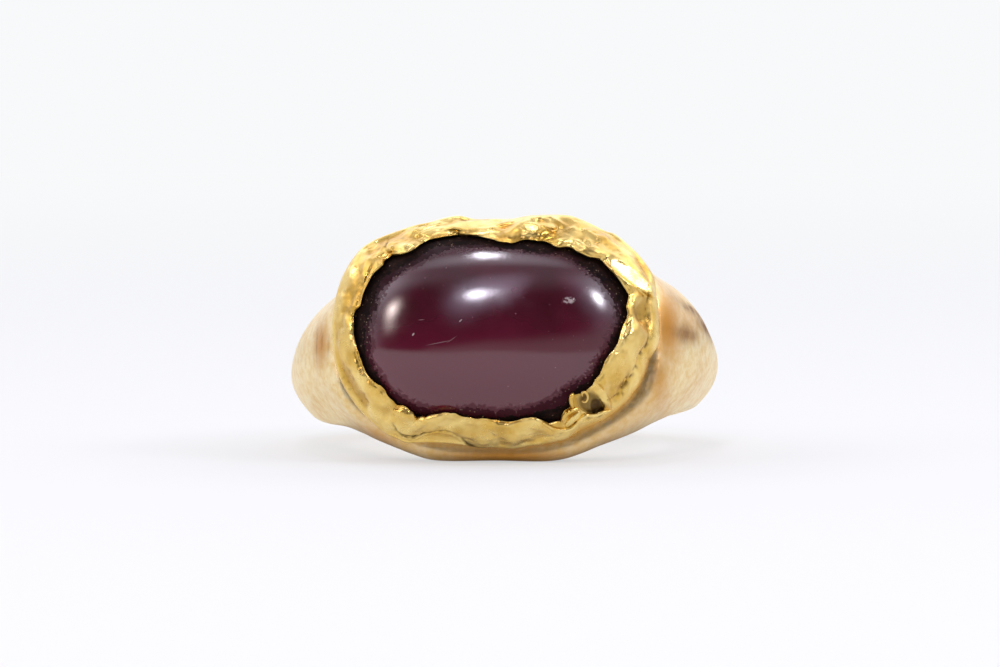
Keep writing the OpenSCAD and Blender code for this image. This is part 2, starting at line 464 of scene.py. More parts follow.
@dataclass(frozen=True)
class GoldFinish(Finish):
    """High-karat gold: its colour, its gloss and the marks of how it was made."""

    bright: str
    deep: str
    blush: str
    stain_and_shade: str
    gloss: float
    dull: float
    patch_mm: float
    grit_mm: float
    grit_depth_mm: float

    def surface(self, tree: Tree, mm: Socket) -> dict[str, object]:
        """Draw mottled gold with its warm patches, its stains, the shade painted on it and its grit.

        Args:
            tree: the material's node tree.
            mm: the socket with the place in millimetres.

        Returns:
            The shader's inputs by name.
        """
        patches = {"Vector": mm, "Scale": 1 / self.patch_mm, "Detail": 4.0, "Roughness": 0.6}
        tone = add_node(tree, "TexNoise", patches)
        colour = add_node(tree, "ValToRGB", {0: tone}, stops=[(0.34, self.deep), (0.62, self.bright)])
        blush = add_node(tree, "Attribute", out="Fac", attribute_name="blush")
        colour = add_node(tree, "Mix", {0: blush, 6: colour, 7: linear(self.blush)}, 2, data_type="RGBA")
        # the dark colour paints stains, and also painted shade in the sheet's valleys, pocket and step and
        # on the hoop's strip under the collar
        stain_and_shade = add_node(tree, "Attribute", out="Fac", attribute_name="stain_and_shade")
        colour = add_node(tree, "Mix", {0: stain_and_shade, 6: colour, 7: linear(self.stain_and_shade)}, 2, data_type="RGBA")
        sand = {"Vector": mm, "Scale": 1 / self.grit_mm, "Detail": 3.0, "Roughness": 0.65}
        grit = add_node(tree, "TexNoise", sand)
        wear = add_node(tree, "TexNoise", {"Vector": mm, "Scale": 1 / (self.patch_mm * 0.4), "Detail": 5.0})
        rough = add_node(tree, "MapRange", {0: wear, 1: 0.35, 2: 0.65, 3: self.gloss, 4: self.dull})
        dull_where_dark = {0: stain_and_shade, 1: 0.25, 2: rough}
        rough = add_node(tree, "Math", dull_where_dark, operation="MULTIPLY_ADD", use_clamp=True)
        bump = add_node(tree, "Bump", {"Height": grit, "Distance": self.grit_depth_mm * MM})
        return {"Base Color": colour, "Metallic": 1.0, "Roughness": rough, "Normal": bump}


class Scar(Enum):
    """The kinds of small mark on the stone, with how strongly each shows."""

    CHIP = 1.0
    SCRATCH = 0.3
    TICK = 0.9


@dataclass(frozen=True)
class GarnetFinish(Finish):
    """Garnet cut and polished to a dome, old and a little scratched: dark wine red, almost opaque."""

    body: str
    glow: str
    veil: str
    dust: str
    gloss: float
    specular: float
    speck_mm: float
    speck_share: float
    speck_pale: float
    axes: RingAxes

    # kind, across, along, forward, length, width, turn
    SCARS = [
        (Scar.CHIP, 3.87, 1.60, 14.3, 0.75, 0.42, 8),
        (Scar.TICK, 4.12, 1.66, 14.3, 0.16, 0.10, 60),
        (Scar.SCRATCH, -2.80, -0.68, 14.6, 1.50, 0.045, 12),
        (Scar.SCRATCH, -2.15, -0.50, 14.6, 0.70, 0.035, 35),
        (Scar.TICK, -4.17, -0.20, 14.3, 0.20, 0.09, 55),
        (Scar.SCRATCH, -3.75, 0.55, 14.4, 0.35, 0.05, 5),
        (Scar.TICK, -1.70, 0.45, 14.8, 0.22, 0.06, 40),
    ]

    def _scarred(self, tree: Tree, mm: Socket, pale: Socket) -> Socket:
        """Add the stone's scars to its pale specks.

        Args:
            tree: the material's node tree.
            mm: the socket with the place in millimetres.
            pale: the socket that is 1 on a speck.

        Returns:
            The socket that is 1 inside a scar or a speck and 0 outside.
        """
        broken = add_node(tree, "TexNoise", {"Vector": mm, "Scale": 6.0, "Detail": 3.0})
        patchy = add_node(tree, "MapRange", {0: broken, 1: 0.5, 2: 0.6, 3: 0.05, 4: 0.75})
        for kind, across, along, forward, length, width, turn in self.SCARS:
            scar = {
                "Vector": mm,
                "Location": tuple(self.axes.placed(*map(np.array, (across, forward, along))) / MM),
                "Rotation": (0.0, -math.radians(turn), 0.0),
                "Scale": (length / 2, 2.0, width / 2),
            }
            inside = add_node(tree, "Mapping", scar, vector_type="TEXTURE")
            away = add_node(tree, "VectorMath", {0: inside}, 1, operation="LENGTH")
            spot = add_node(tree, "MapRange", {0: away, 1: 1.1, 2: 0.5, 4: kind.value})
            if kind is Scar.CHIP:
                spot = add_node(tree, "Math", {0: spot, 1: patchy}, operation="MULTIPLY")
            pale = add_node(tree, "Math", {0: pale, 1: spot}, operation="MAXIMUM")
        return pale

    def surface(self, tree: Tree, mm: Socket) -> dict[str, object]:
        """Draw the cloudy stone with its glow, its specks, its scars and the smears on it.

        Args:
            tree: the material's node tree.
            mm: the socket with the place in millimetres.

        Returns:
            The shader's inputs by name.
        """
        cloud = add_node(tree, "TexNoise", {"Vector": mm, "Scale": 0.45, "Detail": 3.0})
        colour = add_node(tree, "ValToRGB", {0: cloud}, stops=[(0.35, self.body), (0.7, self.veil)])
        lit = add_node(tree, "Attribute", out="Fac", attribute_name="lit")
        colour = add_node(tree, "Mix", {0: lit, 6: colour, 7: linear(self.glow)}, 2, data_type="RGBA")
        reach = (self.speck_share, self.speck_share / 2)
        speck = self.dust_specks(tree, mm, self.speck_mm, reach, (0.45, 0.8))
        speck = add_node(tree, "Math", {0: speck, 1: self.speck_pale}, operation="MULTIPLY")
        pale = self._scarred(tree, mm, speck)
        colour = add_node(tree, "Mix", {0: pale, 6: colour, 7: linear(self.dust)}, 2, data_type="RGBA")
        smear = add_node(tree, "TexNoise", {"Vector": mm, "Scale": 1.2, "Detail": 4.0, "Roughness": 0.6})
        rough = add_node(tree, "MapRange", {0: smear, 1: 0.35, 2: 0.7, 3: self.gloss, 4: self.gloss * 1.7})
        dusty = {0: pale, 1: 0.4, 2: rough}
        rough = add_node(tree, "Math", dusty, operation="MULTIPLY_ADD", use_clamp=True)
        swirl = add_node(tree, "TexNoise", {"Vector": mm, "Scale": 9.0, "Detail": 4.0, "Roughness": 0.7})
        bump = add_node(tree, "Bump", {"Height": swirl, "Distance": 0.0015 * MM})
        gloss = {"IOR": 1.76, "Specular IOR Level": self.specular}
        return {"Base Color": colour, "Roughness": rough, "Normal": bump, **gloss}


# The recess round the stone is painted shade with dirt in it: quite dull and nearly black, so that the stone
# sinks into a dark seam. Its grains of dust are drawn 0.16 mm apart, coarser than real dust, so that they
# show.
@dataclass(frozen=True)
class SoilAndShadeFinish(Finish):
    """Painted shade of the recess round the stone, with old dirt worn into it: black-brown, with grains of
    pale dust.
    """

    dirt_and_shade: str = "#120808"
    earth_and_shade: str = "#321c14"
    dust: str = "#a08a74"
    grain_mm: float = 0.16

    def surface(self, tree: Tree, mm: Socket) -> dict[str, object]:
        """Draw dull clods of painted shade and dirt, with drifts of dust.

        Args:
            tree: the material's node tree.
            mm: the socket with the place in millimetres.

        Returns:
            The shader's inputs by name.
        """
        clods = add_node(tree, "TexNoise", {"Vector": mm, "Scale": 2.4, "Detail": 5.0, "Roughness": 0.7})
        colour = add_node(tree, "ValToRGB", {0: clods}, stops=[(0.45, self.dirt_and_shade), (0.75, self.earth_and_shade)])
        dusty = self.dust_specks(tree, mm, self.grain_mm, (0.34, 0.18), (0.4, 0.75))
        drift = add_node(tree, "MapRange", {0: clods, 1: 0.5, 2: 0.62, 4: 0.9})
        dusty = add_node(tree, "Math", {0: dusty, 1: drift}, operation="MULTIPLY")
        colour = add_node(tree, "Mix", {0: dusty, 6: colour, 7: linear(self.dust)}, 2, data_type="RGBA")
        bump = add_node(tree, "Bump", {"Height": clods, "Distance": 0.03 * MM})
        return {"Base Color": colour, "Specular IOR Level": 0.12, "Roughness": 0.9, "Normal": bump}


# Gold cast in a mould and worn on the hand for long: a satin skin, on which light spreads into soft
# patches, and pale mottling where the alloy is uneven. The mottling is drawn half a millimetre wide,
# coarser than the real grain, so that it shows.
CAST_GOLD = GoldFinish(
    "worn_cast_gold",
    bright="#f8e9bc",
    deep="#eccf8e",
    blush="#cd9040",
    stain_and_shade="#6b3d0c",
    gloss=0.3,
    dull=0.42,
    patch_mm=0.5,
    grit_mm=0.14,
    grit_depth_mm=0.008,
)
# Purer gold beaten into a thin sheet: a deeper yellow and glossier than the casting, so that each crumple
# mirrors a light of its own. Its valleys, pockets and the crack under its step are painted darker as their
# shade, and brown dirt lies in its creases and pits.
SHEET_GOLD = GoldFinish(
    "beaten_sheet_gold",
    bright="#f5d98a",
    deep="#dfb658",
    blush="#c0963f",
    stain_and_shade="#3a1e0a",
    gloss=0.25,
    dull=0.38,
    patch_mm=1.4,
    grit_mm=0.12,
    grit_depth_mm=0.004,
)
# Polished garnet gives sharp lights on dark wine red. By the rim the stone is painted darker, as the shade
# of the recess, with skin grease and dirt on it: the haze dulls the lights and darkens it a little, and the
# next skin turns it brown-black with pale dust on it.
# name, body, glow, veil, dust, gloss, specular, speck size, speck share, how pale a speck is
GARNET_SKINS = [
    ("polished_garnet", "#3a0615", "#5b0a26", "#4a0a20", "#b5a7a4", 0.1, 0.5, 0.43, 0.08, 0.35),
    ("hazed_and_shaded_garnet", "#330714", "#500a21", "#400a1a", "#a08a74", 0.26, 0.22, 0.3, 0.2, 0.5),
    ("soiled_and_shaded_garnet", "#22080f", "#3a0a19", "#2a0a13", "#a08a74", 0.5, 0.07, 0.2, 0.26, 0.6),
]


@dataclass(frozen=True)
class Piece:
    """A piece of the ring, which is built, dressed and put in its CAD node's place."""

    axes: RingAxes

    NAME: ClassVar[str]
    SLOT: ClassVar[str]
    NODE: ClassVar[str]

    def build(self) -> Thing:
        """Model the piece and give its mesh object."""
        raise NotImplementedError

    def finishes(self) -> list[Finish]:
        """Give the piece's finishes, in the order of its faces' numbers."""
        raise NotImplementedError

    def make(self) -> Thing:
        """Build the piece, dress it, attach it to the root and hide the CAD node that it stands for.

        Returns:
            The finished object.
        """
        piece = self.build()
        for finish in self.finishes():
            piece.data.materials.append(finish.material())
        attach(piece, "root")
        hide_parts(self.NODE)
        count = sum(len(p.vertices) - 2 for p in piece.data.polygons)
        LOG.info("%s: %d triangles, stands for %s", piece.name, count, self.NODE)
        return piece


@dataclass(frozen=True)
class Hoop(Piece):
    """The finger hoop with its wide shoulders and the flat plate under the stone."""

    finger_r: float = 8.65
    side_wall: float = 2.8
    plate_f: float = 10.35
    plate_round: float = 0.22
    front_h: float = 12.5
    back_h: float = 3.7
    edge_ease: float = 0.4
    bore_spare: float = 0.4
    corner_wear: float = 0.14
    dent_depth: float = 0.09
    seat_warm: float = 0.4
    stations: int = 480
    sides: int = 84

    NAME = "hoop_gold_cast"
    SLOT = "hoop_gold"
    NODE = "hoop"
    # at, height, rise, crown, corner, fullness
    SECTIONS = [
        (0, 1.00, 0.00, 1.30, 0.56, 7.0),
        (14, 1.00, 0.00, 1.36, 0.58, 7.0),
        (20, 0.97, 0.02, 1.42, 0.61, 6.6),
        (25, 0.90, 0.03, 1.50, 0.65, 6.2),
        (30, 0.81, 0.05, 1.60, 0.69, 5.8),
        (37, 0.70, 0.09, 1.71, 0.71, 4.6),
        (43, 0.61, 0.14, 1.64, 0.68, 3.6),
        (52, 0.48, 0.26, 1.43, 0.61, 2.9),
        (64, 0.35, 0.44, 1.21, 0.56, 2.6),
        (77, 0.20, 0.46, 1.05, 0.54, 2.1),
        (90, 0.10, 0.32, 1.00, 0.53, 2.0),
        (112, 0.05, 0.30, 0.88, 0.49, 2.3),
        (145, 0.02, 0.08, 0.69, 0.41, 2.3),
        (180, 0.00, 0.00, 0.59, 0.38, 2.3),
        (215, 0.02, -0.06, 0.69, 0.41, 2.3),
        (248, 0.05, -0.26, 0.88, 0.49, 2.3),
        (270, 0.10, -0.25, 1.00, 0.53, 2.0),
        (283, 0.20, -0.30, 1.05, 0.54, 2.2),
        (296, 0.33, -0.25, 1.21, 0.55, 2.2),
        (308, 0.44, -0.19, 1.42, 0.57, 2.3),
        (317, 0.57, -0.15, 1.64, 0.62, 3.0),
        (323, 0.68, -0.10, 1.71, 0.69, 4.4),
        (330, 0.81, -0.05, 1.60, 0.69, 5.8),
        (335, 0.90, -0.03, 1.50, 0.65, 6.2),
        (340, 0.97, -0.02, 1.42, 0.61, 6.6),
        (346, 1.00, 0.00, 1.36, 0.58, 7.0),
        (360, 1.00, 0.00, 1.30, 0.56, 7.0),
    ]
    # shift of the pattern, size of a dent, its share of the depth
    DENTS = [(0, 4.2, 0.6), (40, 1.9, 0.3), (0, 0.9, 0.1)]
    # across, along, length, width, turn, darkness from stains and painted shade, blush
    STAINS_AND_SHADE = [
        (9.82, 0.82, 1.5, 1.00, 20, 0.80, 0.7),
        (9.25, 0.98, 1.3, 0.40, 10, 0.25, 0.4),
        (10.15, 2.34, 1.7, 0.62, -24, 1.0, 0.3),
        (10.78, 1.80, 1.5, 0.85, -58, 1.0, 0.4),
        (8.90, 1.00, 1.6, 4.6, 0, 0.0, 1.0),
        (9.90, 1.40, 1.6, 2.2, 0, 0.0, 0.55),
        (8.50, -1.90, 1.3, 4.0, 0, 0.05, 0.75),
        (7.40, -3.60, 4.0, 1.3, 38, 0.0, 0.45),
        (5.60, -5.10, 3.6, 1.1, 22, 0.0, 0.45),
        (-9.30, 0.05, 1.0, 2.6, 0, 0.12, 0.9),
        (-9.55, 0.20, 0.12, 2.0, 0, 0.6, 0.0),
        (-9.25, 0.35, 0.10, 1.5, 4, 0.45, 0.0),
        (-8.85, -0.10, 0.10, 1.3, -3, 0.35, 0.0),
        (-6.20, -4.90, 3.6, 0.9, -24, 0.05, 0.7),
        # painted shade: the strip under the collar's lower edge is darker and warmer
        (0.50, -6.00, 9.0, 0.9, 0, 0.2, 1.0),
    ]

    def finishes(self) -> list[Finish]:
        """Give the hoop its cast gold."""
        return [CAST_GOLD]

    def _section(self, at: float) -> Array:
        """Draw one closed section with worn corners.

        Args:
            at: degrees from the stone towards the right.

        Returns:
            Rows of reach from the finger's axis and height along it, evenly spaced.
        """
        columns = range(1, len(self.SECTIONS[0]))
        height, rise, crown, corner, fullness = (float(Curve.through(self.SECTIONS, k)(at)) for k in columns)
        half = self.back_h / 2 + height * (self.front_h - self.back_h) / 2
        share = np.sin(np.linspace(-90, 90, 121) * math.pi / 180)
        wall = self.finger_r + self.side_wall * mix_of(crown, corner, np.abs(share) ** fullness)
        corner_r = self.finger_r + self.side_wall * corner
        inside = self.finger_r - self.bore_spare
        cut = half - self.edge_ease * (corner_r - self.finger_r) / (corner_r - inside)
        top, foot = (corner_r, half), (corner_r, -half)
        high, low = (self.finger_r, cut), (self.finger_r, -cut)
        line = np.concatenate(
            [
                np.stack([wall, share * half], axis=1),
                np.linspace(top, high, 20)[1:],
                np.linspace(high, low, 40)[1:],
                np.linspace(low, foot, 20)[1:],
            ]
        )
        # the worn corners come from smoothing the whole outline, as a closed wave
        even = self._evenly(line, 600)
        length = np.linalg.norm(np.diff(even, axis=0), axis=1).sum()
        wave = np.fft.fftfreq(len(even), d=length / len(even))
        fade = np.exp(-2 * (math.pi * wave * self.corner_wear) ** 2)
        worn = np.fft.ifft(np.fft.fft(even[:, 0] + 1j * even[:, 1]) * fade)
        flat = np.stack([np.maximum(worn.real, self.finger_r), worn.imag + rise], axis=1)
        return self._evenly(np.concatenate([flat, flat[:1]]), self.sides)

    @staticmethod
    def _evenly(line: Array, count: int) -> Array:
        """Space a closed line's points evenly.

        Args:
            line: rows of two numbers, with the first point again at the end.
            count: how many points to give.

        Returns:
            The points, without the first one again at the end.
        """
        step = np.linalg.norm(np.diff(line, axis=0), axis=1)
        along = np.concatenate([[0], np.cumsum(step)])
        want = np.linspace(0, along[-1], count, endpoint=False)
        return np.stack([np.interp(want, along, line[:, k]) for k in range(2)], axis=1)

    def build(self) -> Thing:
        """Model the hoop from a spun band, section by section.

        Returns:
            The finished mesh object.
        """
        hoop, station, side = spun_blank(self.NAME, self.stations, self.sides)
        at = np.arange(self.stations) * 360 / self.stations
        rows = np.array([self._section(a) for a in at])
        reach, along = rows[..., 0], rows[..., 1]
        turn = np.radians(at)[:, None]
        across = reach * np.sin(turn)
        ahead = reach * np.cos(turn)
        # the plate is cut flat across the front, with a soft edge
        knee = np.log1p(np.exp(-np.abs(ahead - self.plate_f) / self.plate_round))
        forward = np.minimum(ahead, self.plate_f) - self.plate_round * knee
        points = np.stack([across, forward, along], axis=-1)[station, side]
        outside = smooth_step(self.finger_r + 0.1, self.finger_r + 0.6, reach[station, side])
        grain = Grain(11)
        worked = sum(grain.smooth(points + shift, size) * share for shift, size, share in self.DENTS)
        sink = self.dent_depth * (worked * 0.5 + 0.5) * outside
        out = points * np.array([1, 1, 0])
        out /= np.maximum(np.linalg.norm(out, axis=1, keepdims=True), 1e-6)
        points = points - out * sink[:, None]
        reshape(hoop, self.axes.placed(*points.T))
        settle(hoop)
        stain_and_shade, blush = self._stains_and_shade(points)
        note(hoop, "stain_and_shade", stain_and_shade)
        note(hoop, "blush", blush)
        return hoop

    def _stains_and_shade(self, points: Array) -> tuple[Array, Array]:
        """Mark where the metal is stained, where shade is painted on it, and where it has a warmer tone.

        Args:
            points: the corners on the ring's own axes.

        Returns:
            How dark with stains and painted shade, and how warm, each corner is, 0 to 1.
        """
        grain = Grain(61)
        right, ahead, up = points.T
        ragged = 0.5 + 0.5 * grain.smooth(points, 0.6) + 0.3 * grain.smooth(points + 20, 0.25)
        streaky = 0.5 + 0.5 * grain.smooth(points * np.array([4, 4, 0.6]), 1.0)
        in_front = smooth_step(1.0, 3.0, ahead)
        stain_and_shade = 0.03 * smooth_step(0.62, 0.95, streaky) + 0.05 * smooth_step(0.5, 0.9, ragged)
        blush = 0.1 + 0.25 * smooth_step(0.0, 1.0, grain.smooth(points, 3.5)) + 0.03 * streaky
        by_seat = self.seat_warm * smooth_step(8.2, 9.4, ahead) * smooth_step(-9, -6, right)
        blush = np.maximum(blush, by_seat)
        for across, along, length, width, turn, dark, warm in self.STAINS_AND_SHADE:
            lean = math.radians(turn)
            dx, dy = right - across, up - along
            a = (dx * math.cos(lean) + dy * math.sin(lean)) * 2 / length
            b = (dy * math.cos(lean) - dx * math.sin(lean)) * 2 / width
            spot = np.exp(-(a * a + b * b)) * in_front
            stain_and_shade = np.maximum(stain_and_shade, dark * spot * (0.45 + 0.75 * np.clip(ragged, 0, 1)))
            blush = np.maximum(blush, warm * spot)
        return stain_and_shade, np.clip(blush, 0, 1)


@dataclass(frozen=True)
class Garnet(Piece):
    """The tall oval cabochon with a flat back."""

    length: float = 15.3
    width: float = 10.5
    seat_f: float = 10.41
    girdle_h: float = 0.5
    dome_h: float = 4.1
    outline_power: float = 2.4
    dome_power: float = 2.2
    rise: float = 0.35
    uneven: float = 0.012
    rim_shade_fade: float = 0.028
    segments: int = 384
    rings: int = 200

    NAME = "garnet_cabochon"
    SLOT = "garnet"
    NODE = "garnet"
    # at, share where the painted shade with a thin layer of dirt starts, share where the near-black painted
    # shade with dirt starts
    RIM_SHADE_AND_DIRT = [
        (0, 0.81, 0.84), (8, 0.83, 0.865), (15, 0.815, 0.85), (22, 0.80, 0.84), (27, 0.785, 0.815),
        (35, 0.785, 0.817), (44, 0.79, 0.846), (51, 0.78, 0.834), (56, 0.755, 0.79), (63, 0.75, 0.78),
        (75, 0.757, 0.785), (86, 0.76, 0.785), (95, 0.785, 0.817), (105, 0.79, 0.833), (114, 0.795, 0.841),
        (125, 0.79, 0.88), (132, 0.78, 0.865), (141, 0.762, 0.824), (150, 0.775, 0.835),
        (155, 0.795, 0.868), (165, 0.805, 0.85), (172, 0.82, 0.857), (180, 0.838, 0.889), (190, 0.84, 0.89),
        (197, 0.857, 0.885), (205, 0.856, 0.887), (212, 0.875, 0.92), (218, 0.875, 0.933),
        (225, 0.877, 0.944), (232, 0.875, 0.941), (240, 0.855, 0.90), (247, 0.83, 0.869),
        (254, 0.80, 0.885), (262, 0.812, 0.892), (270, 0.83, 0.892), (281, 0.815, 0.881),
        (286, 0.825, 0.886), (295, 0.805, 0.872), (303, 0.793, 0.875), (311, 0.78, 0.868),
        (318, 0.745, 0.82), (326, 0.74, 0.797), (334, 0.755, 0.79), (341, 0.75, 0.775), (348, 0.765, 0.80),
        (354, 0.775, 0.80),
    ]  # fmt: skip

    def finishes(self) -> list[Finish]:
        """Give the stone its skins, from clean to shaded by the rim, and the near-black painted shade with
        dirt.
        """
        return [*(GarnetFinish(*skin, self.axes) for skin in GARNET_SKINS), SoilAndShadeFinish("recess_shade_and_dirt")]

    def outline(self, at: Array) -> Array:
        """Give the outline's reach.

        Args:
            at: angles in degrees.

        Returns:
            Millimetres from the middle for each angle.
        """
        turn = np.radians(at)
        across = np.abs(np.cos(turn)) / (self.length / 2)
        along = np.abs(np.sin(turn)) / (self.width / 2)
        return (across**self.outline_power + along**self.outline_power) ** (-1 / self.outline_power)

    def share(self, across: Array, along: Array) -> Array:
        """Give how far out a place is.

        Args:
            across: millimetres to the right of the stone's middle.
            along: millimetres up from it.

        Returns:
            0 in the middle and 1 on the outline.
        """
        a = np.abs(across) / (self.length / 2)
        b = np.abs(along) / (self.width / 2)
        return (a**self.outline_power + b**self.outline_power) ** (1 / self.outline_power)

    def dome_rise(self, share: Array) -> Array:
        """Give the dome's height at a share, as a share of its full height."""
        return np.sqrt(np.maximum(0, 1 - np.minimum(1, share) ** self.dome_power))

    def dome_f(self, share: Array) -> Array:
        """Give how far forward the dome's surface is at a share."""
        return self.seat_f + self.girdle_h + self.dome_h * self.dome_rise(share)

    def build(self) -> Thing:
        """Model the stone from half a sphere, with its girdle drawn down from the cut.

        Returns:
            The finished mesh object.
        """
        put_down()
        bpy.ops.mesh.primitive_uv_sphere_add(segments=self.segments, ring_count=self.rings, radius=1.0)
        stone = started(self.NAME)
        bpy.ops.object.mode_set(mode="EDIT")
        bpy.ops.mesh.select_all(action="SELECT")
        bpy.ops.mesh.bisect(plane_co=(0, 0, 0), plane_no=(0, 0, 1), clear_inner=True, use_fill=True)
        bpy.ops.mesh.extrude_region_move(TRANSFORM_OT_translate={"value": (0, 0, -0.25)})
        bpy.ops.mesh.inset(thickness=0.03, depth=0.0)
        bpy.ops.object.mode_set(mode="OBJECT")
        at = corners_of(stone)
        flat = np.hypot(at[:, 0], at[:, 1])
        turn = np.degrees(np.arctan2(at[:, 1], at[:, 0]))
        below = at[:, 2] < -0.01
        share = np.where(below, np.minimum(flat, 1), np.sin(np.arccos(np.clip(at[:, 2], 0, 1))))
        forward = np.where(below, self.seat_f, self.dome_f(share))
        reach = share * self.outline(turn)
        across = reach * np.cos(np.radians(turn))
        along = reach * np.sin(np.radians(turn))
        points = np.stack([across, along, forward], axis=-1)
        wave = (Grain(5).smooth(points, 3.1) - 1) * self.uneven * (~below)
        reshape(stone, self.axes.placed(across, forward + wave * self.dome_rise(share), along + self.rise))
        settle(stone)
        note(stone, "lit", smooth_step(1.2, -2.2, along) * (1 - 0.35 * smooth_step(0, 6, across)))
        starts = np.zeros(len(stone.data.polygons), np.int32)
        stone.data.polygons.foreach_get("loop_start", starts)
        corner = np.zeros(len(stone.data.loops), np.int32)
        stone.data.loops.foreach_get("vertex_index", corner)
        skin = self._rim_shade_level(across, along, share)[corner[starts]]
        stone.data.polygons.foreach_set("material_index", skin)
        return stone

    def _rim_shade_level(self, across: Array, along: Array, share: Array) -> Array:
        """Give the number of the finish that each place of the stone wears.

        Args:
            across: how far to the right each point is.
            along: how far up each point is, in the stone's plane.
            share: how far out each point is.

        Returns:
            For each point, 0 where it is clean, 1 hazed and a little darker, 2 painted dark as shade with a
            thin layer of dirt, and 3 painted near-black as the recess's shade with dirt in it.
        """
        points = np.stack([across, along, across * 0], axis=-1)
        grain = Grain(23)
        wander = grain.smooth(points, 1.1) * 0.008 + grain.smooth(points + 9, 0.4) * 0.008
        crumbs = grain.smooth(points + 17, 0.16)
        dust = grain.smooth(points + 31, 0.05)
        turn = np.degrees(np.arctan2(along, across)) % 360
        # towards the rim the stone is painted darker in steps, as painted shade of the recess with some dirt
        toward_shade = share + wander + crumbs * 0.022 + dust * 0.016 - Curve.through(self.RIM_SHADE_AND_DIRT, 1, True)(turn)
        deep_shade = share + wander + crumbs * 0.016 + dust * 0.01 > Curve.through(self.RIM_SHADE_AND_DIRT, 2, True)(turn)
        return (toward_shade > -self.rim_shade_fade / 2).astype(np.int32) + (toward_shade > self.rim_shade_fade / 2) + deep_shade


class Mark(Enum):
    """The kinds of mark that pressing, wear and tearing left in the sheet."""

    BUMP = "rounded swell"
    RIDGE = "narrow fold"
    HOLLOW = "deep pocket with a flat floor"
    SMOOTH = "patch without crumples"
    DENT = "rounded hollow"
    CREASE = "narrow crack with dirt"
    PIT = "small deep pit"
    BLUSH = "warmer patch"


@dataclass
class Relief:
    """What the collar's face shows at each of its points, while it is worked."""

    ragged: Array
    rough: Array
    height: Array
    stain_and_shade: Array
    blush: Array

    def dirt_and_shade(self, amount: Array) -> None:
        """Lay dirt and painted shade where there isn't more of either already."""
        self.stain_and_shade = np.maximum(self.stain_and_shade, amount)

    def warm(self, amount: Array) -> None:
        """Warm the tone where it isn't warmer already."""
        self.blush = np.maximum(self.blush, amount)


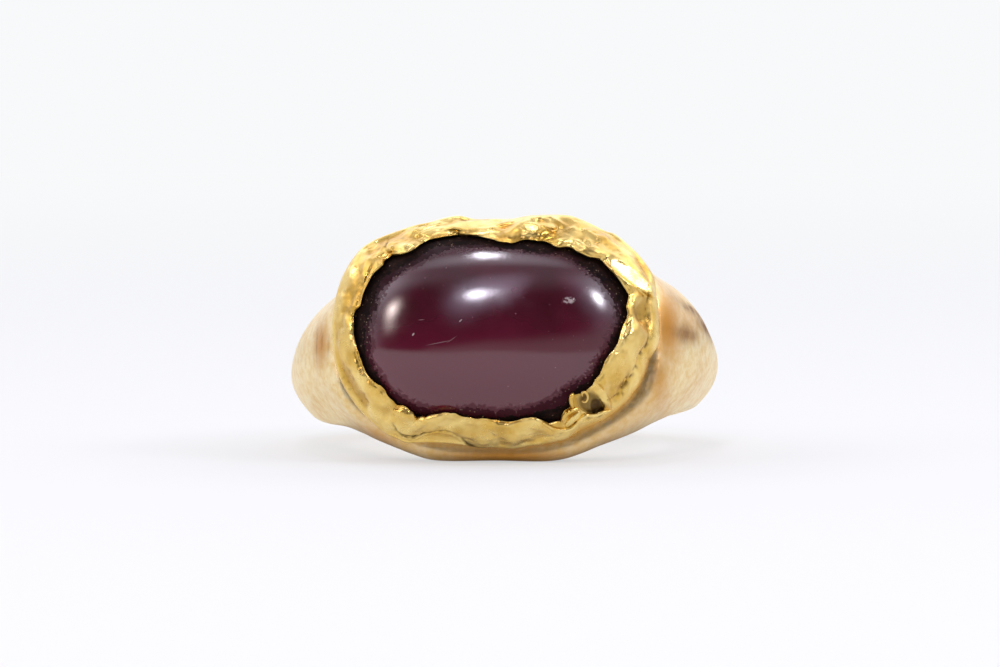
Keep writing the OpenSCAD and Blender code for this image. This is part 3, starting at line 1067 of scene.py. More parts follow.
@dataclass(frozen=True)
class Collar(Piece):
    """The strip of thin sheet gold that is pressed over the stone's edge."""

    stone: Garnet
    top_mm: float
    plate_f: float = 10.35
    gap: float = 0.06
    sheet: float = 0.22
    wall: float = 0.3
    end_bend: float = 0.35
    edge_lift: float = 0.45
    edge_clear: float = 0.12
    lip_hold: float = 0.97
    root_rise: float = 0.7
    face_room: float = 0.2
    under_room: float = 0.13
    wall_top: float = 0.3
    fold_r: float = 3.9
    top_knee: float = 0.03
    hold_knee: float = 0.03
    step_deep: float = 0.14
    step_ragged: float = 0.11
    crack_deep: float = 0.08
    crack_half: float = 0.055
    brow_rise: float = 0.07
    brow_out: float = 0.12
    brow_half: float = 0.05
    curl_rise: float = 0.035
    stations: int = 960
    face_steps: int = 44

    NAME = "collar_sheet_gold"
    SLOT = "collar_gold"
    NODE = "collar"
    # at, reach of the outer edge
    EDGE = [
        (1, 8.51), (6, 8.51), (11, 8.55), (16, 8.64), (20, 8.74), (23, 8.70), (29, 8.53), (35, 8.32),
        (41, 8.10), (44, 7.86), (50, 7.61), (55, 7.44), (61, 7.21), (66, 6.96), (71, 6.64), (77, 6.36),
        (83, 6.12), (91, 6.07), (101, 6.17), (108, 6.55), (115, 6.71), (121, 6.85), (127, 7.17),
        (133, 7.49), (139, 7.89), (143, 8.18), (148, 8.45), (152, 8.55), (156, 8.62), (160, 8.67),
        (168, 8.66), (174, 8.66), (184, 8.62), (190, 8.58), (197, 8.48), (203, 8.33), (211, 8.12),
        (217, 7.93), (223, 7.76), (227, 7.55), (231, 7.40), (235, 7.03), (240, 6.68), (246, 6.36),
        (252, 6.17), (256, 6.11), (262, 6.06), (270, 6.02), (277, 6.11), (286, 6.18), (292, 6.33),
        (299, 6.49), (305, 6.67), (311, 6.68), (316, 6.62), (320, 6.78), (324, 7.10), (327, 7.33),
        (332, 7.54), (339, 7.74), (345, 7.91), (351, 8.10), (356, 8.42),
    ]  # fmt: skip
    # at, reach of the torn lip
    LIP = [
        (4, 6.88), (9, 6.93), (14, 7.12), (19, 6.98), (24, 6.81), (30, 6.65), (34, 6.50), (37, 6.11),
        (42, 5.86), (48, 5.69), (52, 5.30), (57, 5.25), (61, 5.21), (65, 5.02), (71, 4.91), (79, 4.55),
        (90, 4.57), (100, 4.89), (110, 5.27), (116, 5.65), (126, 5.86), (131, 5.89), (137, 5.89),
        (142, 6.29), (145, 6.76), (148, 6.85), (151, 6.74), (156, 6.97), (163, 7.08), (166, 7.12),
        (171, 7.16), (173, 7.40), (179, 7.38), (185, 7.32), (191, 7.21), (196, 7.13), (201, 7.06),
        (204, 6.87), (208, 6.65), (212, 6.57), (218, 6.49), (221, 6.24), (226, 6.08), (229, 6.09),
        (233, 5.76), (237, 5.40), (241, 5.10), (246, 5.01), (249, 5.02), (254, 4.92), (259, 4.87),
        (265, 4.79), (271, 4.81), (276, 4.89), (282, 4.98), (289, 5.03), (294, 5.12), (298, 5.48),
        (301, 5.80), (304, 6.02), (307, 5.78), (310, 5.68), (314, 5.74), (317, 5.46), (320, 5.60),
        (323, 5.76), (327, 5.92), (331, 5.94), (335, 6.01), (341, 6.02), (346, 6.15), (349, 6.33),
        (353, 6.47), (358, 6.57),
    ]  # fmt: skip
    # at, lift of the edge, how far the lip stands off the stone
    BEND = [
        (0, 0.00, 0.15), (10, 0.05, 0.22), (20, 0.10, 0.30), (30, 0.15, 0.30), (40, 0.10, 0.25),
        (50, 0.10, 0.20), (60, 0.25, 0.20), (70, 0.20, 0.20), (80, 0.05, 0.15), (90, 0.00, 0.15),
        (100, 0.00, 0.15), (110, 0.05, 0.20), (120, 0.15, 0.30), (130, 0.05, 0.30), (140, 0.00, 0.25),
        (150, 0.10, 0.30), (160, 0.05, 0.30), (170, 0.00, 0.25), (180, 0.00, 0.20), (190, 0.05, 0.15),
        (200, 0.05, 0.12), (210, 0.00, 0.10), (220, -0.05, 0.12), (230, 0.05, 0.15), (240, 0.35, 0.10),
        (250, 0.30, 0.12), (260, 0.05, 0.10), (270, 0.00, 0.10), (280, 0.00, 0.12), (290, 0.05, 0.12),
        (300, 0.10, 0.15), (310, -0.05, 0.20), (320, -0.10, 0.15), (330, 0.05, 0.12), (340, 0.10, 0.12),
        (350, 0.05, 0.12),
    ]  # fmt: skip
    # at, width of the turned-out rim, how far it stands out
    RIM = [
        (0, 0.42, 0.09), (14, 0.38, 0.08), (26, 0.16, 0.03), (60, 0.12, 0.02), (120, 0.14, 0.03),
        (165, 0.16, 0.04), (180, 0.20, 0.05), (225, 0.20, 0.06), (240, 0.14, 0.03), (290, 0.14, 0.03),
        (301, 0.28, 0.06), (318, 0.32, 0.08), (332, 0.42, 0.09), (348, 0.44, 0.10),
    ]  # fmt: skip
    # share of the way from the edge to the lip, share of the rise
    FACE = [(-0.15, -0.25), (0.0, 0.0), (0.15, 0.25), (0.4, 0.60), (0.75, 0.93), (1.0, 1.0), (1.25, 1.01)]
    # shift of the pattern, size of a flat, how steep it is, how crisp its folds are
    CRUMPLES = [(0, 0.85, 0.44, 3.0), (31, 0.42, 0.34, 3.2), (57, 0.3, 0.15, 3.6)]
    # patches pressed flat: at, reach, length, width, turn, lift, slope across, slope along
    FLATS = [
        (21.0, 7.69, 2.8, 0.74, 34, 0.02, -0.555, -0.223),
        (157.1, 8.12, 0.55, 0.45, 0, 0.02, 0.511, -0.101),
        (144.5, 8.02, 0.55, 0.35, 0, 0.02, 0.42, -0.25),
        (70.7, 5.65, 0.8, 0.5, 10, 0.02, 0.03, -0.75),
        (43.2, 6.59, 0.5, 0.4, 0, 0.02, -0.25, -0.6),
        (122.0, 6.55, 1.0, 0.35, 0, 0.03, 0.05, -0.75),
        (98.0, 5.72, 3.4, 0.7, 0, 0.02, 0.02, -1.6),
        (65.0, 6.15, 1.1, 0.45, 0, 0.02, -0.05, -1.6),
        (97.0, 5.05, 1.8, 0.18, 0, 0.02, 0.03, -0.76),
        (45.1, 7.01, 1.1, 0.35, 0, 0.02, -0.25, -0.45),
        (328.0, 6.55, 1.3, 0.45, 71, 0.04, -0.15, 0.25),
    ]
    # kind, at, reach, length, width, turn, lift, then the darkening (painted shade in a hollow, dirt in the
    # other marks) or the warmth of a blush
    MARKS = [
        (Mark.HOLLOW, 322.1, 6.27, 1.25, 0.95, -52, -0.8, 0.72),
        (Mark.HOLLOW, 322.8, 6.62, 0.70, 0.80, -52, -1.0, 1.0),
        (Mark.RIDGE, 127.7, 6.77, 1.1, 0.13, 0, 0.05, 0),
        (Mark.RIDGE, 157.0, 7.31, 1.5, 0.16, 0, 0.05, 0),
        (Mark.BUMP, 167.2, 7.50, 0.3, 0.25, 0, 0.04, 0),
        (Mark.BUMP, 174.0, 7.56, 0.3, 0.25, 0, 0.04, 0),
        (Mark.BUMP, 167.1, 8.23, 0.35, 0.25, 0, 0.04, 0),
        (Mark.CREASE, 141.1, 7.49, 0.8, 0.12, 30, -0.12, 0.8),
        (Mark.RIDGE, 142.6, 6.96, 0.5, 0.18, 20, 0.06, 0),
        (Mark.RIDGE, 103.3, 5.44, 2.2, 0.12, 0, 0.05, 0),
        (Mark.RIDGE, 103.4, 5.85, 2.2, 0.12, 0, 0.05, 0),
        (Mark.RIDGE, 62.3, 6.60, 1.3, 0.25, 0, 0.07, 0),
        (Mark.DENT, 6.9, 7.60, 1.0, 0.75, 0, -0.16, 0.35),
        (Mark.PIT, 8.6, 7.44, 0.2, 0.15, 0, -0.08, 0.8),
        (Mark.PIT, 4.2, 7.83, 0.18, 0.14, 0, -0.06, 0.7),
        (Mark.DENT, 245.4, 5.44, 0.6, 0.45, 0, -0.10, 0.1),
        (Mark.RIDGE, 254.6, 5.57, 0.45, 0.9, 90, 0.08, 0),
        (Mark.RIDGE, 255.6, 5.15, 0.45, 0.14, 0, 0.05, 0),
        (Mark.RIDGE, 273.6, 5.05, 0.45, 0.14, 0, 0.05, 0),
        (Mark.BUMP, 278.7, 5.12, 0.45, 0.2, 0, 0.08, 0),
        (Mark.SMOOTH, 341.0, 6.74, 1.9, 1.0, 0, 0, 0),
        (Mark.CREASE, 337.4, 7.37, 1.2, 0.10, 0, -0.09, 0.8),
        (Mark.BLUSH, 55.0, 6.20, 1.2, 0.6, 0, 0, 0.7),
        (Mark.BLUSH, 41.0, 7.30, 3.4, 1.4, 0, 0, 1.0),
        (Mark.BLUSH, 142.0, 7.45, 5.5, 1.9, 0, 0, 0.75),
        (Mark.BLUSH, 176.0, 7.90, 4.0, 1.2, 0, 0, 0.4),
        (Mark.BLUSH, 4.0, 7.60, 4.0, 1.5, 0, 0, 0.8),
        (Mark.BLUSH, 336.0, 6.90, 2.8, 1.3, 0, 0, 0.5),
        (Mark.BLUSH, 163.0, 8.10, 1.0, 0.4, 0, 0, 0.6),
        (Mark.BLUSH, 150.0, 7.60, 1.2, 0.5, 0, 0, 0.5),
        (Mark.BLUSH, 257.0, 5.30, 1.0, 0.5, 0, 0, 0.6),
        (Mark.BLUSH, 312.0, 5.80, 0.9, 0.5, 0, 0, 0.8),
    ]
    # thickness of a torn shred, then its course: across, along, how far it stands off what is under it
    SHREDS = [
        (0.21, [
            (4.12, -3.52, 0.05), (4.06, -3.66, 0.20), (3.99, -3.80, 0.22), (4.01, -4.01, 0.20),
            (4.09, -4.22, 0.12),
        ]),
        (0.12, [
            (4.60, -3.64, 0.16), (4.55, -3.54, 0.30), (4.70, -3.46, 0.34), (4.87, -3.58, 0.34),
            (4.86, -3.80, 0.32), (4.70, -3.93, 0.28), (4.56, -3.86, 0.16),
        ]),
        (0.21, [
            (4.32, -4.20, 0.05), (4.00, -4.36, 0.20), (3.74, -4.52, 0.20), (3.57, -4.70, 0.16),
            (3.62, -4.88, 0.08),
        ]),
        (0.30, [(4.42, -4.34, 0.02), (4.16, -4.56, 0.06), (3.90, -4.78, 0.04), (3.72, -4.96, 0.0)]),
        (0.20, [
            (2.55, -4.96, 0.02), (2.98, -5.20, 0.08), (3.42, -5.26, 0.10), (3.86, -5.19, 0.12),
            (4.22, -4.96, 0.14), (4.46, -4.68, 0.16), (4.75, -4.47, 0.20), (5.22, -4.43, 0.24),
            (5.60, -4.22, 0.14), (5.97, -4.12, 0.04),
        ]),
    ]  # fmt: skip
    # at, reach of the step where the upper sheet ends and a lower strip shows
    STEP = [
        (216, 7.20), (222, 7.18), (223.4, 7.21), (225.5, 7.30), (228.3, 7.27), (232, 7.08), (234, 6.90),
        (236.5, 6.54), (241, 6.14), (247.5, 5.89), (252, 5.92), (256.5, 6.04), (262, 6.08), (267, 6.10),
        (272, 6.12),
    ]  # fmt: skip

    def finishes(self) -> list[Finish]:
        """Give the collar its sheet gold."""
        return [SHEET_GOLD]

    def build(self) -> Thing:
        """Model the collar from a spun band: its face, its torn lip, its standing wall and its free edge.

        Returns:
            The finished mesh object.
        """
        at = np.arange(self.stations) * 360 / self.stations
        turn = np.radians(at)
        way = np.stack([np.cos(turn), np.sin(turn)], axis=-1)
        least = self.stone.outline(at) + self.wall + 2 * self.gap
        edge = way * np.maximum(Curve.through(self.EDGE, 1, True)(at), least)[:, None]
        lip = way * (Curve.through(self.LIP, 1, True)(at) + self._tears(way))[:, None]
        share = self.stone.share(lip[:, 0], lip[:, 1])
        lip = lip * np.minimum(1, self.lip_hold / share)[:, None]
        lift, clear = (Curve.through(self.BEND, column, True)(at) for column in (1, 2))
        bent = self.end_bend * (edge[:, 0] / (self.stone.length / 2)) ** 2
        low = np.maximum(self.plate_f + self.edge_clear, self.plate_f + self.edge_lift + lift - bent)
        high = self.stone.dome_f(np.minimum(share, self.lip_hold)) + clear
        face, stain_and_shade, blush = self._face(edge, lip, low, high)
        grid = np.concatenate([face] + self._underside(at, edge, lip, low, high), axis=1)
        bare = np.zeros((self.stations, grid.shape[1] - stain_and_shade.shape[1]))
        collar, station, side = spun_blank(self.NAME, self.stations, grid.shape[1])
        across, along, forward = grid[station, side].T
        places = self.axes.placed(across, forward, along + self.stone.rise)
        knee = self.top_knee * MM
        places[:, 2] = self.top_mm * MM - knee * np.log1p(np.exp((self.top_mm * MM - places[:, 2]) / knee))
        reshape(collar, places)
        for name, notes in (("stain_and_shade", stain_and_shade), ("blush", blush)):
            note(collar, name, np.concatenate([notes, bare], axis=1)[station, side])
        shreds = [self._shred(face, *row) for row in self.SHREDS]
        put_down()
        for piece in (*shreds, collar):
            piece.select_set(True)
        bpy.context.view_layer.objects.active = collar
        bpy.ops.object.join()
        settle(collar)
        return collar

    def _shred(self, face: Array, thick: float, path: Rows) -> Thing:
        """Roll one torn shred of the lip.

        Args:
            face: the collar's face, which the shred lies on.
            thick: how thick the rolled shred is.
            path: its course in the stone's plane, with how far it stands off what is under it.

        Returns:
            The shred's mesh object.
        """
        line = bpy.data.curves.new("shred", "CURVE")
        line.dimensions = "3D"
        line.bevel_depth = thick / 2 * MM
        line.bevel_resolution = 3
        line.resolution_u = 6
        line.use_fill_caps = True
        spline = line.splines.new("NURBS")
        spline.points.add(len(path) - 1)
        spline.order_u = 3
        spline.use_endpoint_u = True
        across, along, off = (np.array(column) for column in zip(*path))
        points = face.reshape(-1, 3)
        far = np.hypot(points[None, :, 0] - across[:, None], points[None, :, 1] - along[:, None])
        stone = self.stone.dome_f(self.stone.share(across, along))
        ahead = np.where(far.min(axis=1) < 0.1, points[far.argmin(axis=1), 2], stone) + off
        for k, place in enumerate(self.axes.placed(across, ahead, along + self.stone.rise)):
            spline.points[k].co = (*place, 1.0)
            spline.points[k].radius = 0.6 if k in (0, len(path) - 1) else 1.0 + 0.25 * (k % 2)
        shred = bpy.data.objects.new("shred", line)
        bpy.context.scene.collection.objects.link(shred)
        put_down()
        shred.select_set(True)
        bpy.context.view_layer.objects.active = shred
        bpy.ops.object.convert(target="MESH")
        return shred

    @staticmethod
    def _tears(way: Array) -> Array:
        """Give the fine raggedness of the torn lip.

        Args:
            way: the direction of each station.

        Returns:
            Millimetres of reach for each station.
        """
        ring = np.concatenate([way, way[:, :1] * 0], axis=1) * 6.3
        grain = Grain(47)
        return grain.smooth(ring, 0.7) * 0.05 + grain.smooth(ring, 0.3) * 0.02

    def _face(self, edge: Array, lip: Array, low: Array, high: Array) -> tuple[Array, Array, Array]:
        """Draw the crumpled face from the outer edge to the lip.

        Args:
            edge: the outer edge in the stone's plane.
            lip: the torn lip in that plane.
            low: how far forward the edge's underside is.
            high: how far forward the lip's underside is.

        Returns:
            Stations by steps by across, along and forward, then how dark with stains and painted shade and
            how warm each of them is.
        """
        even = np.linspace(0, 1, self.face_steps)
        s = mix_of(even, 0.5 - 0.5 * np.cos(even * math.pi), 0.5)
        flat = mix_of(edge[:, None, :], lip[:, None, :], s[None, :, None])
        ahead = mix_of(low[:, None], high[:, None], Curve.through(self.FACE)(s)[None, :])
        share = self.stone.share(flat[..., 0], flat[..., 1])
        hold = self.stone.dome_f(share) - 3 * smooth_step(1.0, 1.06, share)
        ahead = np.maximum(ahead, hold + self.face_room) + self.sheet
        face = np.concatenate([flat, ahead[..., None]], axis=-1)
        inward = s[None, :] * np.linalg.norm(edge - lip, axis=1)[:, None]
        height, stain_and_shade, blush = self._crumple(face, inward, s)
        face = face + self._normals(face) * height[..., None]
        self._press(face, smooth_step(0.05, 0.3, inward))
        # whatever was pressed in is held off the stone again, with a soft knee
        lip_clear = (high - self.stone.dome_f(share[:, -1]))[:, None]
        room = face[..., 2] - (hold + self.sheet + lip_clear * smooth_step(0.6, 1, s))
        face[..., 2] += self.hold_knee * np.log1p(np.exp(-room / self.hold_knee))
        return face, stain_and_shade, blush

    def _press(self, face: Array, free: Array) -> None:
        """Sink the pockets, and flatten patches of the face to slopes of their own.

        Args:
            face: the crumpled face, which is changed.
            free: how free each of its points is to move, 0 to 1.
        """
        for kind, *where, lift, _ in self.MARKS:
            if kind is Mark.HOLLOW:
                face[..., 2] += lift * smooth_step(1.25, 0.5, self._on_mark(face, *where)[0])
        for *where, lift, slope_x, slope_y in self.FLATS:
            spot, _, _, dx, dy = self._on_mark(face, *where)
            inside = smooth_step(1.5, 0.7, spot) * free
            middle = np.sum(face[..., 2] * inside) / np.sum(inside)
            plane = middle + lift + slope_x * dx + slope_y * dy
            face[..., 2] = mix_of(face[..., 2], plane, inside * 0.97)

    @staticmethod
    def _on_mark(
        face: Array, at: float, far: float, length: float, wide: float, slant: float
    ) -> tuple[Array, ...]:
        """Measure the face from the middle of a mark.

        Args:
            face: the face's points.
            at: the mark's direction in degrees.
            far: its reach in millimetres.
            length: its length in millimetres.
            wide: its width in millimetres.
            slant: its turn from the way round, in degrees.

        Returns:
            For each point, how far out in the mark it is, squared and 1 on the mark's rim, then how far
            along the mark, across it, to the right and up it is.
        """
        middle = math.radians(at)
        dx, dy = face[..., 0] - far * math.cos(middle), face[..., 1] - far * math.sin(middle)
        lean = middle + math.pi / 2 + math.radians(slant)
        along = dx * math.cos(lean) + dy * math.sin(lean)
        across = dx * math.sin(lean) - dy * math.cos(lean)
        return (2 * along / length) ** 2 + (2 * across / wide) ** 2, along, across, dx, dy

    @staticmethod
    def _normals(face: Array) -> Array:
        """Give the direction that the face looks in at each of its points.

        Args:
            face: the face's points.

        Returns:
            One unit vector a point, turned forward.
        """
        round_it = np.roll(face, -1, axis=0) - np.roll(face, 1, axis=0)
        over_it = np.gradient(face, axis=1)
        out = np.cross(round_it, over_it)
        out /= np.maximum(np.linalg.norm(out, axis=-1, keepdims=True), 1e-9)
        return out * np.where(out[..., 2:3] < 0, -1, 1)

    def _crumple(self, face: Array, inward: Array, s: Array) -> tuple[Array, Array, Array]:
        """Give how far each point of the face stands out, its stain and its warmth.

        Args:
            face: the smooth face.
            inward: how far each of its points is from the outer edge.
            s: the share of the way from the edge to the lip, for each step.

        Returns:
            One height in millimetres, one darkening for stains and painted shade, and one warmth from 0 to 1
            for each point.
        """
        grid = face.shape[:2]
        points = face.reshape(-1, 3)
        turn = np.arctan2(face[..., 1], face[..., 0])
        # the sheet as if unrolled, so that its folds run round and across the strip
        drawn = np.stack([np.cos(turn) * self.fold_r, np.sin(turn) * self.fold_r, inward], axis=-1)
        drawn = drawn.reshape(-1, 3)
        turn = np.degrees(turn) % 360
        grain = Grain(3)
        sheets = (drawn, drawn, points)
        rough = sum(grain.facets(p + shift, *fold) for p, (shift, *fold) in zip(sheets, self.CRUMPLES))
        rough = (rough + 0.05 * grain.smooth(points + 90, 2.6)).reshape(grid)
        ragged = 0.5 + 0.5 * Grain(9).smooth(points, 0.25).reshape(grid)
        blush = 0.6 * smooth_step(-0.1, 0.8, Grain(12).smooth(drawn, 0.55).reshape(grid))
        relief = Relief(ragged, rough, np.zeros(grid), np.zeros(grid), blush)
        self._mark(relief, face)
        lapped = self._lap(relief, face, turn)
        out = self._turn_out(relief, inward, turn, lapped, s)
        return out, relief.stain_and_shade, relief.blush

    def _mark(self, relief: Relief, face: Array) -> None:
        """Leave the marks, then paint the valleys darker and warmer as their shade.

        Args:
            relief: the face's relief, which is changed.
            face: the smooth face.
        """
        ragged = relief.ragged
        for kind, at, far, length, wide, slant, lift, tone in self.MARKS:
            spot, along, across, _, _ = self._on_mark(face, at, far, length, wide, slant)
            run = smooth_step(1.4, 0.3, (2 * along / length) ** 2)
            if kind is Mark.SMOOTH:
                relief.rough *= 1 - 0.9 * smooth_step(1.35, 0.75, spot)
            elif kind is Mark.RIDGE:
                relief.height += lift * run * np.exp(-((2 * across / wide) ** 2))
            elif kind is Mark.CREASE:
                line = run * np.exp(-((2 * (across + 0.05 * ragged) / wide) ** 2))
                relief.height += lift * line * ragged
                relief.dirt_and_shade(tone * line * smooth_step(0.2, 0.7, ragged))
            elif kind is Mark.HOLLOW:
                relief.rough *= 1 - 0.85 * smooth_step(1.4, 0.8, spot)
                # painted shade: the pocket is darkened from its rim to its middle
                relief.dirt_and_shade(tone * smooth_step(1.3, 0.5, spot) * (0.85 + 0.15 * ragged))
            elif kind is Mark.BLUSH:
                relief.warm(tone * np.exp(-spot) * (0.5 + 0.5 * ragged))
            else:
                relief.height += lift * np.exp(-spot)
                relief.dirt_and_shade(tone * np.exp(-spot) * (0.4 + 0.6 * ragged))
        # the valleys are painted darker and warmer as their shade, but not along the bottom strip, and
        # rubbing has burnished the warm tone off the flats
        low = smooth_step(0.03, -0.10, relief.rough) * smooth_step(-5.4, -4.6, face[..., 1])
        burnished = np.ones(low.shape)
        for row in self.FLATS:
            burnished *= 1 - 0.85 * smooth_step(1.6, 0.6, self._on_mark(face, *row[:5])[0])
        relief.warm(0.85 * low)
        relief.blush *= burnished
        relief.dirt_and_shade(0.3 * low * smooth_step(0.55, 0.85, ragged))

    def _lap(self, relief: Relief, face: Array, turn: Array) -> Array:
        """End the upper sheet at a step: a ragged crack painted dark as the step's shadow, with a raised
        brow below it that is painted paler as a highlight.

        Args:
            relief: the face's relief, which is changed.
            face: the smooth face.
            turn: the direction of each point in degrees.

        Returns:
            How much of the step there is at each point, 0 to 1.
        """
        step = Curve.through(self.STEP)(np.clip(turn, self.STEP[0][0], self.STEP[-1][0] - 0.001))
        there = smooth_step(221, 226, turn) * smooth_step(270, 264, turn)
        below = np.hypot(face[..., 0], face[..., 1]) - step - self.step_ragged * (relief.ragged - 0.5)
        crack = there * np.exp(-((below / self.crack_half) ** 2))
        brow = there * np.exp(-(((below - self.brow_out) / self.brow_half) ** 2))
        drop = there * self.step_deep * smooth_step(-0.03, 0.03, below)
        relief.height -= drop + self.crack_deep * crack - self.brow_rise * brow
        relief.rough *= 1 - 0.75 * there * smooth_step(-0.03, 0.05, below)
        # painted shadow along the step's crack, and a painted highlight on the brow below it
        relief.dirt_and_shade(np.minimum(1, 1.5 * crack) * (0.6 + 0.4 * relief.ragged))
        relief.blush *= 1 - 0.7 * brow
        return there

    def _turn_out(self, relief: Relief, inward: Array, turn: Array, lapped: Array, s: Array) -> Array:
        """Turn the rim out to a rounded bead with a dirty seam inside it, and curl the torn lip.

        Args:
            relief: the face's relief, which is changed.
            inward: how far each point is from the outer edge.
            turn: the direction of each point in degrees.
            lapped: how much of the step there is at each point, where the rim has no seam.
            s: the share of the way from the edge to the lip, for each step.

        Returns:
            How far each point stands out in all, in millimetres.
        """
        wide, rise = (Curve.through(self.RIM, column, True)(turn) for column in (1, 2))
        inside = inward / wide
        bead = np.sqrt(np.clip(1 - (2 * inside - 1) ** 2, 0, 1))
        seam = np.exp(-(((inside - 1.1) / 0.14) ** 2)) * smooth_step(0.2, 0.34, wide) * (1 - lapped)
        relief.dirt_and_shade(0.8 * seam * smooth_step(0.4, 0.75, relief.ragged))
        relief.blush *= smooth_step(0.75, 1.15, inside)
        calm = smooth_step(0.6, 1.3, inside) * mix_of(1.0, 0.55, smooth_step(0.85, 1.0, s[None, :]))
        curl = self.curl_rise * np.exp(-(((inward[:, -1:] - inward - 0.08) / 0.07) ** 2))
        worked = relief.rough * calm + relief.height * smooth_step(0.0, 0.08, inward)
        return worked + rise * (bead - 0.5 * seam) + curl

    def _underside(self, at: Array, edge: Array, lip: Array, low: Array, high: Array) -> list[Array]:
        """Draw what is behind the face: the lip's underside, the standing wall and the free edge's back.

        Args:
            at: the stations in degrees.
            edge: the outer edge in the stone's plane.
            lip: the torn lip in that plane.
            low: how far forward the edge's underside is.
            high: how far forward the lip's underside is.

        Returns:
            Strips of stations by steps by across, along and forward, from the lip back to the edge.
        """
        turn = np.radians(at)
        stone = self.stone
        way = np.stack([np.cos(turn), np.sin(turn)], axis=-1)
        rim_r = stone.outline(at)
        reaches = (rim_r, rim_r + self.gap, rim_r + self.gap + self.wall)
        rim, inner, outer = (way * reach[:, None] for reach in reaches)
        root = mix_of(stone.seat_f, low, self.root_rise)
        seat = np.full(len(at), stone.seat_f)
        top = np.full(len(at), stone.seat_f + stone.girdle_h + self.wall_top)
        under = []
        for share in (0.5, 0.82):
            place = mix_of(lip, rim, share)
            under.append((place, stone.dome_f(stone.share(place[:, 0], place[:, 1])) + self.under_room))
        corners = [(lip, high + self.sheet * 0.45), (lip, high), *under, (inner, top), (inner, seat)]
        corners += [(outer, seat), (outer, root), (edge, low)]
        strips = []
        for (start, start_f), (end, end_f) in zip(corners, corners[1:]):
            t = np.linspace(0, 1, 3)[:-1]
            flat = mix_of(start[:, None, :], end[:, None, :], t[None, :, None])
            ahead = mix_of(start_f[:, None], end_f[:, None], t[None, :])
            strips.append(np.concatenate([flat, ahead[..., None]], axis=-1))
        strips.append(np.concatenate([edge, low[:, None]], axis=-1)[:, None, :])
        return strips


def way_to(azimuth: float, elevation: float) -> Vector:
    """Give the direction from the ring to a place, by its azimuth and elevation in degrees."""
    az, el = math.radians(azimuth), math.radians(elevation)
    return Vector((math.sin(az) * math.cos(el), -math.cos(az) * math.cos(el), math.sin(el)))


@dataclass(frozen=True)
class SoftBox:
    """One soft studio light, placed by the direction it comes from."""

    name: str
    azimuth: float
    elevation: float
    distance_mm: float
    width_mm: float
    height_mm: float
    radiance: float
    falloff: float
    tint: str
    roll: float = 0.0

    def light(self, centre: Vector) -> Thing:
        """Add the light, an oval that is brightest in its middle.

        Args:
            centre: the place it is turned to, in metres.

        Returns:
            The light object.
        """
        lamp = bpy.data.lights.new(self.name, "AREA")
        lamp.shape = "ELLIPSE"
        lamp.size = self.width_mm * MM
        lamp.size_y = self.height_mm * MM
        lamp.energy = self.radiance * math.pi * math.pi / 4 * lamp.size * lamp.size_y
        lamp.color = linear(self.tint)[:3]
        tree = fresh_tree(lamp)
        spot = add_node(tree, "NewGeometry", out="Parametric")
        away = add_node(tree, "VectorMath", {0: spot, 1: (0.5, 0.5, 0.0)}, 1, operation="DISTANCE")
        inward = add_node(tree, "MapRange", {0: away, 2: 0.5, 3: 1.0, 4: 0.0})
        soft = add_node(tree, "Math", {0: inward, 1: self.falloff}, operation="POWER")
        add_node(tree, "OutputLight", {0: add_node(tree, "Emission", {"Strength": soft})})
        made = bpy.data.objects.new(self.name, lamp)
        way = way_to(self.azimuth, self.elevation)
        made.location = centre + way * self.distance_mm * MM
        turned = way.to_track_quat("Z", "Y") @ Quaternion((0, 0, 1), math.radians(self.roll))
        made.rotation_euler = turned.to_euler()
        made.visible_camera = False
        bpy.context.scene.collection.objects.link(made)
        return made


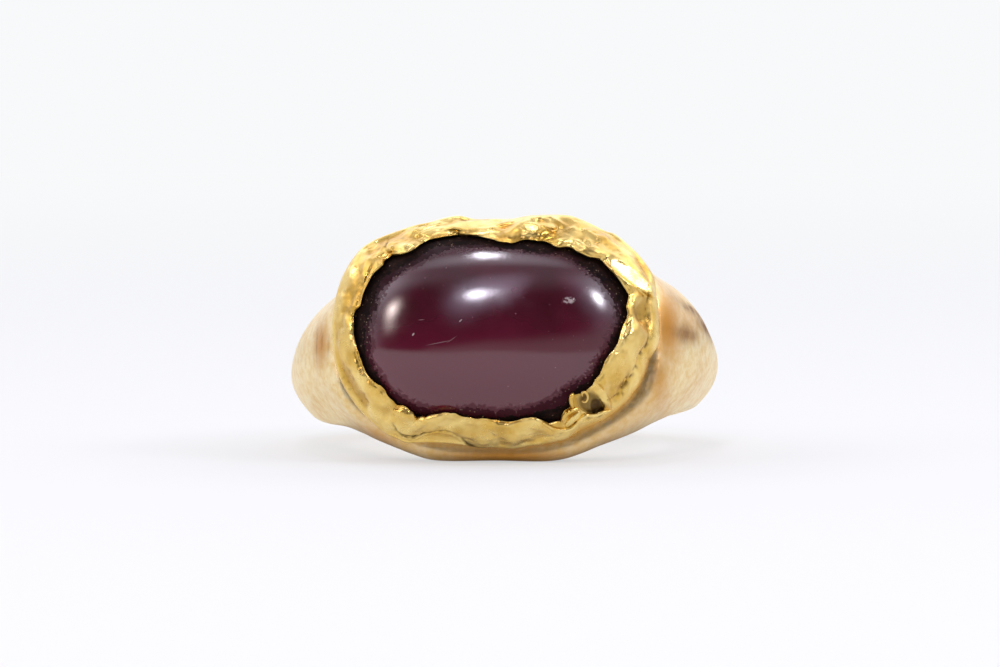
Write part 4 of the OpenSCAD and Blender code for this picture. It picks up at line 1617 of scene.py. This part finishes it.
@dataclass(frozen=True)
class Studio:
    """The pale floor, the soft lights and the camera."""

    view_azimuth: float = 2.4
    view_elevation: float = 4.0
    view_distance_mm: float = 400.0
    view_width_mm: float = 52.15
    aim_mm: tuple[float, float, float] = (0.0, -8.908, 6.831)
    aim_right_mm: float = 0.209
    aim_up_mm: float = -0.078
    sensor_mm: float = 36.0
    floor_mm: float = 6000.0
    paper: str = "#9a9a99"
    near_glow: float = 0.562
    back_glow: float = 1.0
    front_glow: float = 0.065
    high_glow: float = 2.2
    top_glow: float = 0.5
    card_mm: float = 330.0
    card_glow: float = 0.63
    far_glow: float = 1.0
    shade_mm: tuple[float, float] = (8.0, 10.6)

    # azimuth, elevation of the card's top, how many degrees it fades over, how bright it is
    CARD_TOP = [
        (-180, 0.0, 4.0, 1.0), (-75, 0.0, 4.0, 1.05), (-50, -2.0, 3.0, 1.0), (-30, 1.5, 3.0, 0.9),
        (-15, 4.5, 4.0, 0.8), (2, 8.0, 7.0, 0.75), (17, 11.0, 8.0, 0.78), (50, 14.0, 7.0, 0.86),
        (85, 16.0, 6.0, 1.0), (110, 0.0, 4.0, 1.0), (180, 0.0, 4.0, 1.0),
    ]  # fmt: skip
    # name, azimuth, elevation, distance, width, height, radiance, falloff, tint, roll
    LIGHTS = [
        SoftBox("key", -9.2, 42.8, 500, 78, 170, 78.0, 2.4, "#f4f0ff", -20),
        SoftBox("key_halo", -9.0, 45.0, 520, 230, 560, 3.4, 1.3, "#ece0ff", -20),
        SoftBox("overhead", -90, 86.0, 600, 260, 700, 1.6, 0.8, "#f2f3ff"),
        SoftBox("overhead_core", -142.8, 83.2, 560, 32, 200, 105.0, 2.0, "#f6f3ff", -37),
        SoftBox("right", 65.5, 33.5, 500, 190, 300, 60.0, 4.0, "#f8f4ff"),
        SoftBox("right_halo", 64.0, 35.0, 520, 420, 620, 1.5, 1.4, "#ece0ff"),
        SoftBox("left", -63.0, 22.5, 500, 230, 330, 26.0, 3.6, "#ffece6", -15),
    ]

    def camera(self) -> Thing:
        """Place the camera at the photograph's angle, above the floor.

        Returns:
            The camera object.
        """
        az = math.radians(self.view_azimuth)
        way = way_to(self.view_azimuth, self.view_elevation)
        right = Vector((math.cos(az), math.sin(az), 0))
        up = right.cross(-way)
        lens = bpy.data.cameras.new("camera")
        lens.sensor_width = self.sensor_mm
        lens.lens = self.sensor_mm * self.view_distance_mm / self.view_width_mm
        lens.clip_start = 0.01
        lens.clip_end = 50
        made = bpy.data.objects.new("camera", lens)
        aim = (Vector(self.aim_mm) + right * self.aim_right_mm + up * self.aim_up_mm) * MM
        made.location = aim + way * self.view_distance_mm * MM
        made.rotation_euler = way.to_track_quat("Z", "Y").to_euler()
        bpy.context.scene.collection.objects.link(made)
        bpy.context.scene.camera = made
        return made

    def floor(self) -> Thing:
        """Lay the pale paper floor, which glows faintly so that it stays as white as the photograph's.

        Returns:
            The floor object, which isn't part of the ring.
        """
        put_down()
        bpy.ops.mesh.primitive_plane_add(size=self.floor_mm * MM, location=(0, 0, 0))
        made = started("floor")
        # white paper has no shine at all, so that the floor shows shadow and no reflection
        material = bpy.data.materials.new("white_paper")
        tree = fresh_tree(material)
        soft = {"interpolation_type": "SMOOTHSTEP"}
        where = add_node(tree, "TexCoord", out="Object")
        away = add_node(tree, "VectorMath", {0: where}, 1, operation="LENGTH")
        far = add_node(tree, "MapRange", {0: away, 1: 0.05, 2: 0.3}, **soft)
        colours = {6: linear(self.paper), 7: linear("#000000")}
        paper = add_node(tree, "Mix", {0: far, **colours}, 2, data_type="RGBA")
        lit = add_node(tree, "Mix", {0: far, 2: self.near_glow, 3: self.far_glow})
        start, end = (reach * MM for reach in self.shade_mm)
        by_ring = add_node(tree, "MapRange", {0: away, 1: start, 2: end}, **soft)
        seen = add_node(tree, "LightPath", out="Is Camera Ray")
        clear = add_node(tree, "Math", {0: by_ring, 1: seen}, operation="MAXIMUM")
        glow = add_node(tree, "Math", {0: lit, 1: clear}, operation="MULTIPLY")
        plain = {"Roughness": 1.0, "Specular IOR Level": 0.0, "Emission Color": linear("#f8f9fa")}
        shader = add_node(tree, "BsdfPrincipled", {"Base Color": paper, "Emission Strength": glow, **plain})
        add_node(tree, "OutputMaterial", {0: shader})
        made.data.materials.append(material)
        return made

    def world(self) -> None:
        """Make the white room, which is dark in front where the camera stands and pale to the camera."""
        world = bpy.data.worlds.new("room")
        bpy.context.scene.world = world
        tree = fresh_tree(world)
        parts = add_node(tree, "SeparateXYZ", {0: add_node(tree, "TexCoord", out="Generated")}).node.outputs
        ahead, high, above = (
            add_node(tree, "MapRange", {0: parts[k], 1: low, 2: full}, interpolation_type="SMOOTHSTEP")
            for k, low, full in ((1, -0.5, -0.05), (2, 0.64, 0.93), (2, 0.2, 0.55))
        )
        behind = add_node(tree, "Mix", {0: above, 2: self.back_glow, 3: self.high_glow})
        round_it = add_node(tree, "Mix", {0: ahead, 2: self.front_glow, 3: behind})
        glow = add_node(tree, "Mix", {0: high, 2: round_it, 3: self.top_glow})
        seen = add_node(tree, "LightPath", out="Is Camera Ray")
        room = add_node(tree, "Background", {"Color": linear("#f4f5ff"), "Strength": glow})
        pale = add_node(tree, "Background", {"Color": linear("#f7f9fb")})
        both = add_node(tree, "MixShader", {0: seen, 1: room, 2: pale})
        add_node(tree, "OutputWorld", {0: both})

    def card(self) -> Thing:
        """Stand the low white card in front, which the camera looks through and the ring reflects.

        Returns:
            The card object, which isn't part of the ring.
        """
        put_down()
        reach = self.card_mm * MM
        bpy.ops.mesh.primitive_circle_add(vertices=96, radius=reach, location=(0, 0, 0))
        made = started("low_card")
        bpy.ops.object.mode_set(mode="EDIT")
        bpy.ops.mesh.select_all(action="SELECT")
        for _ in range(2):
            bpy.ops.mesh.extrude_region_move(TRANSFORM_OT_translate={"value": (0, 0, reach)})
        bpy.ops.object.mode_set(mode="OBJECT")
        at = corners_of(made)
        row = np.round(at[:, 2] / reach)
        azimuth = np.degrees(np.arctan2(at[:, 0], -at[:, 1]))
        places, *columns = zip(*self.CARD_TOP)
        middle, soft, bright = (np.interp(azimuth, places, column) for column in columns)
        rise = np.tan(np.radians(np.where(row > 1, middle + soft / 2, middle - soft / 2))) * reach
        at[:, 2] = np.where(row > 0, self.aim_mm[2] * MM + rise, -MM)
        reshape(made, at)
        note(made, "lit", (row < 2) * 1.0)
        note(made, "bright", bright * self.card_glow)
        # white card under light gives the stone and the gold their low, pale reflection
        material = bpy.data.materials.new("white_card")
        tree = fresh_tree(material)
        lit = add_node(tree, "Attribute", out="Fac", attribute_name="lit")
        glow = add_node(tree, "Attribute", out="Fac", attribute_name="bright")
        glow = add_node(tree, "Emission", {"Color": linear("#f7f9fb"), "Strength": glow})
        shader = add_node(tree, "MixShader", {0: lit, 1: add_node(tree, "BsdfTransparent"), 2: glow})
        add_node(tree, "OutputMaterial", {0: shader})
        made.data.materials.append(material)
        made.visible_camera = made.visible_diffuse = made.visible_shadow = False
        return made

    def build(self) -> None:
        """Set up the whole studio."""
        self.camera()
        self.world()
        self.floor()
        self.card()
        for box in self.LIGHTS:
            box.light(Vector(self.aim_mm) * MM)
        view = bpy.context.scene.view_settings
        view.view_transform = "Standard"
        view.look = "None"


def main() -> None:
    """Build the studio and the ring's three pieces."""
    logging.basicConfig(level=logging.INFO, format="%(name)s %(message)s")
    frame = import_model()
    axes = RingAxes.of_record(frame["record"])
    Studio().build()
    garnet = Garnet(axes)
    for piece in (Hoop(axes), Collar(axes, garnet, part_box("collar")[1].z / MM), garnet):
        piece.make()


if __name__ == "__main__":
    main()
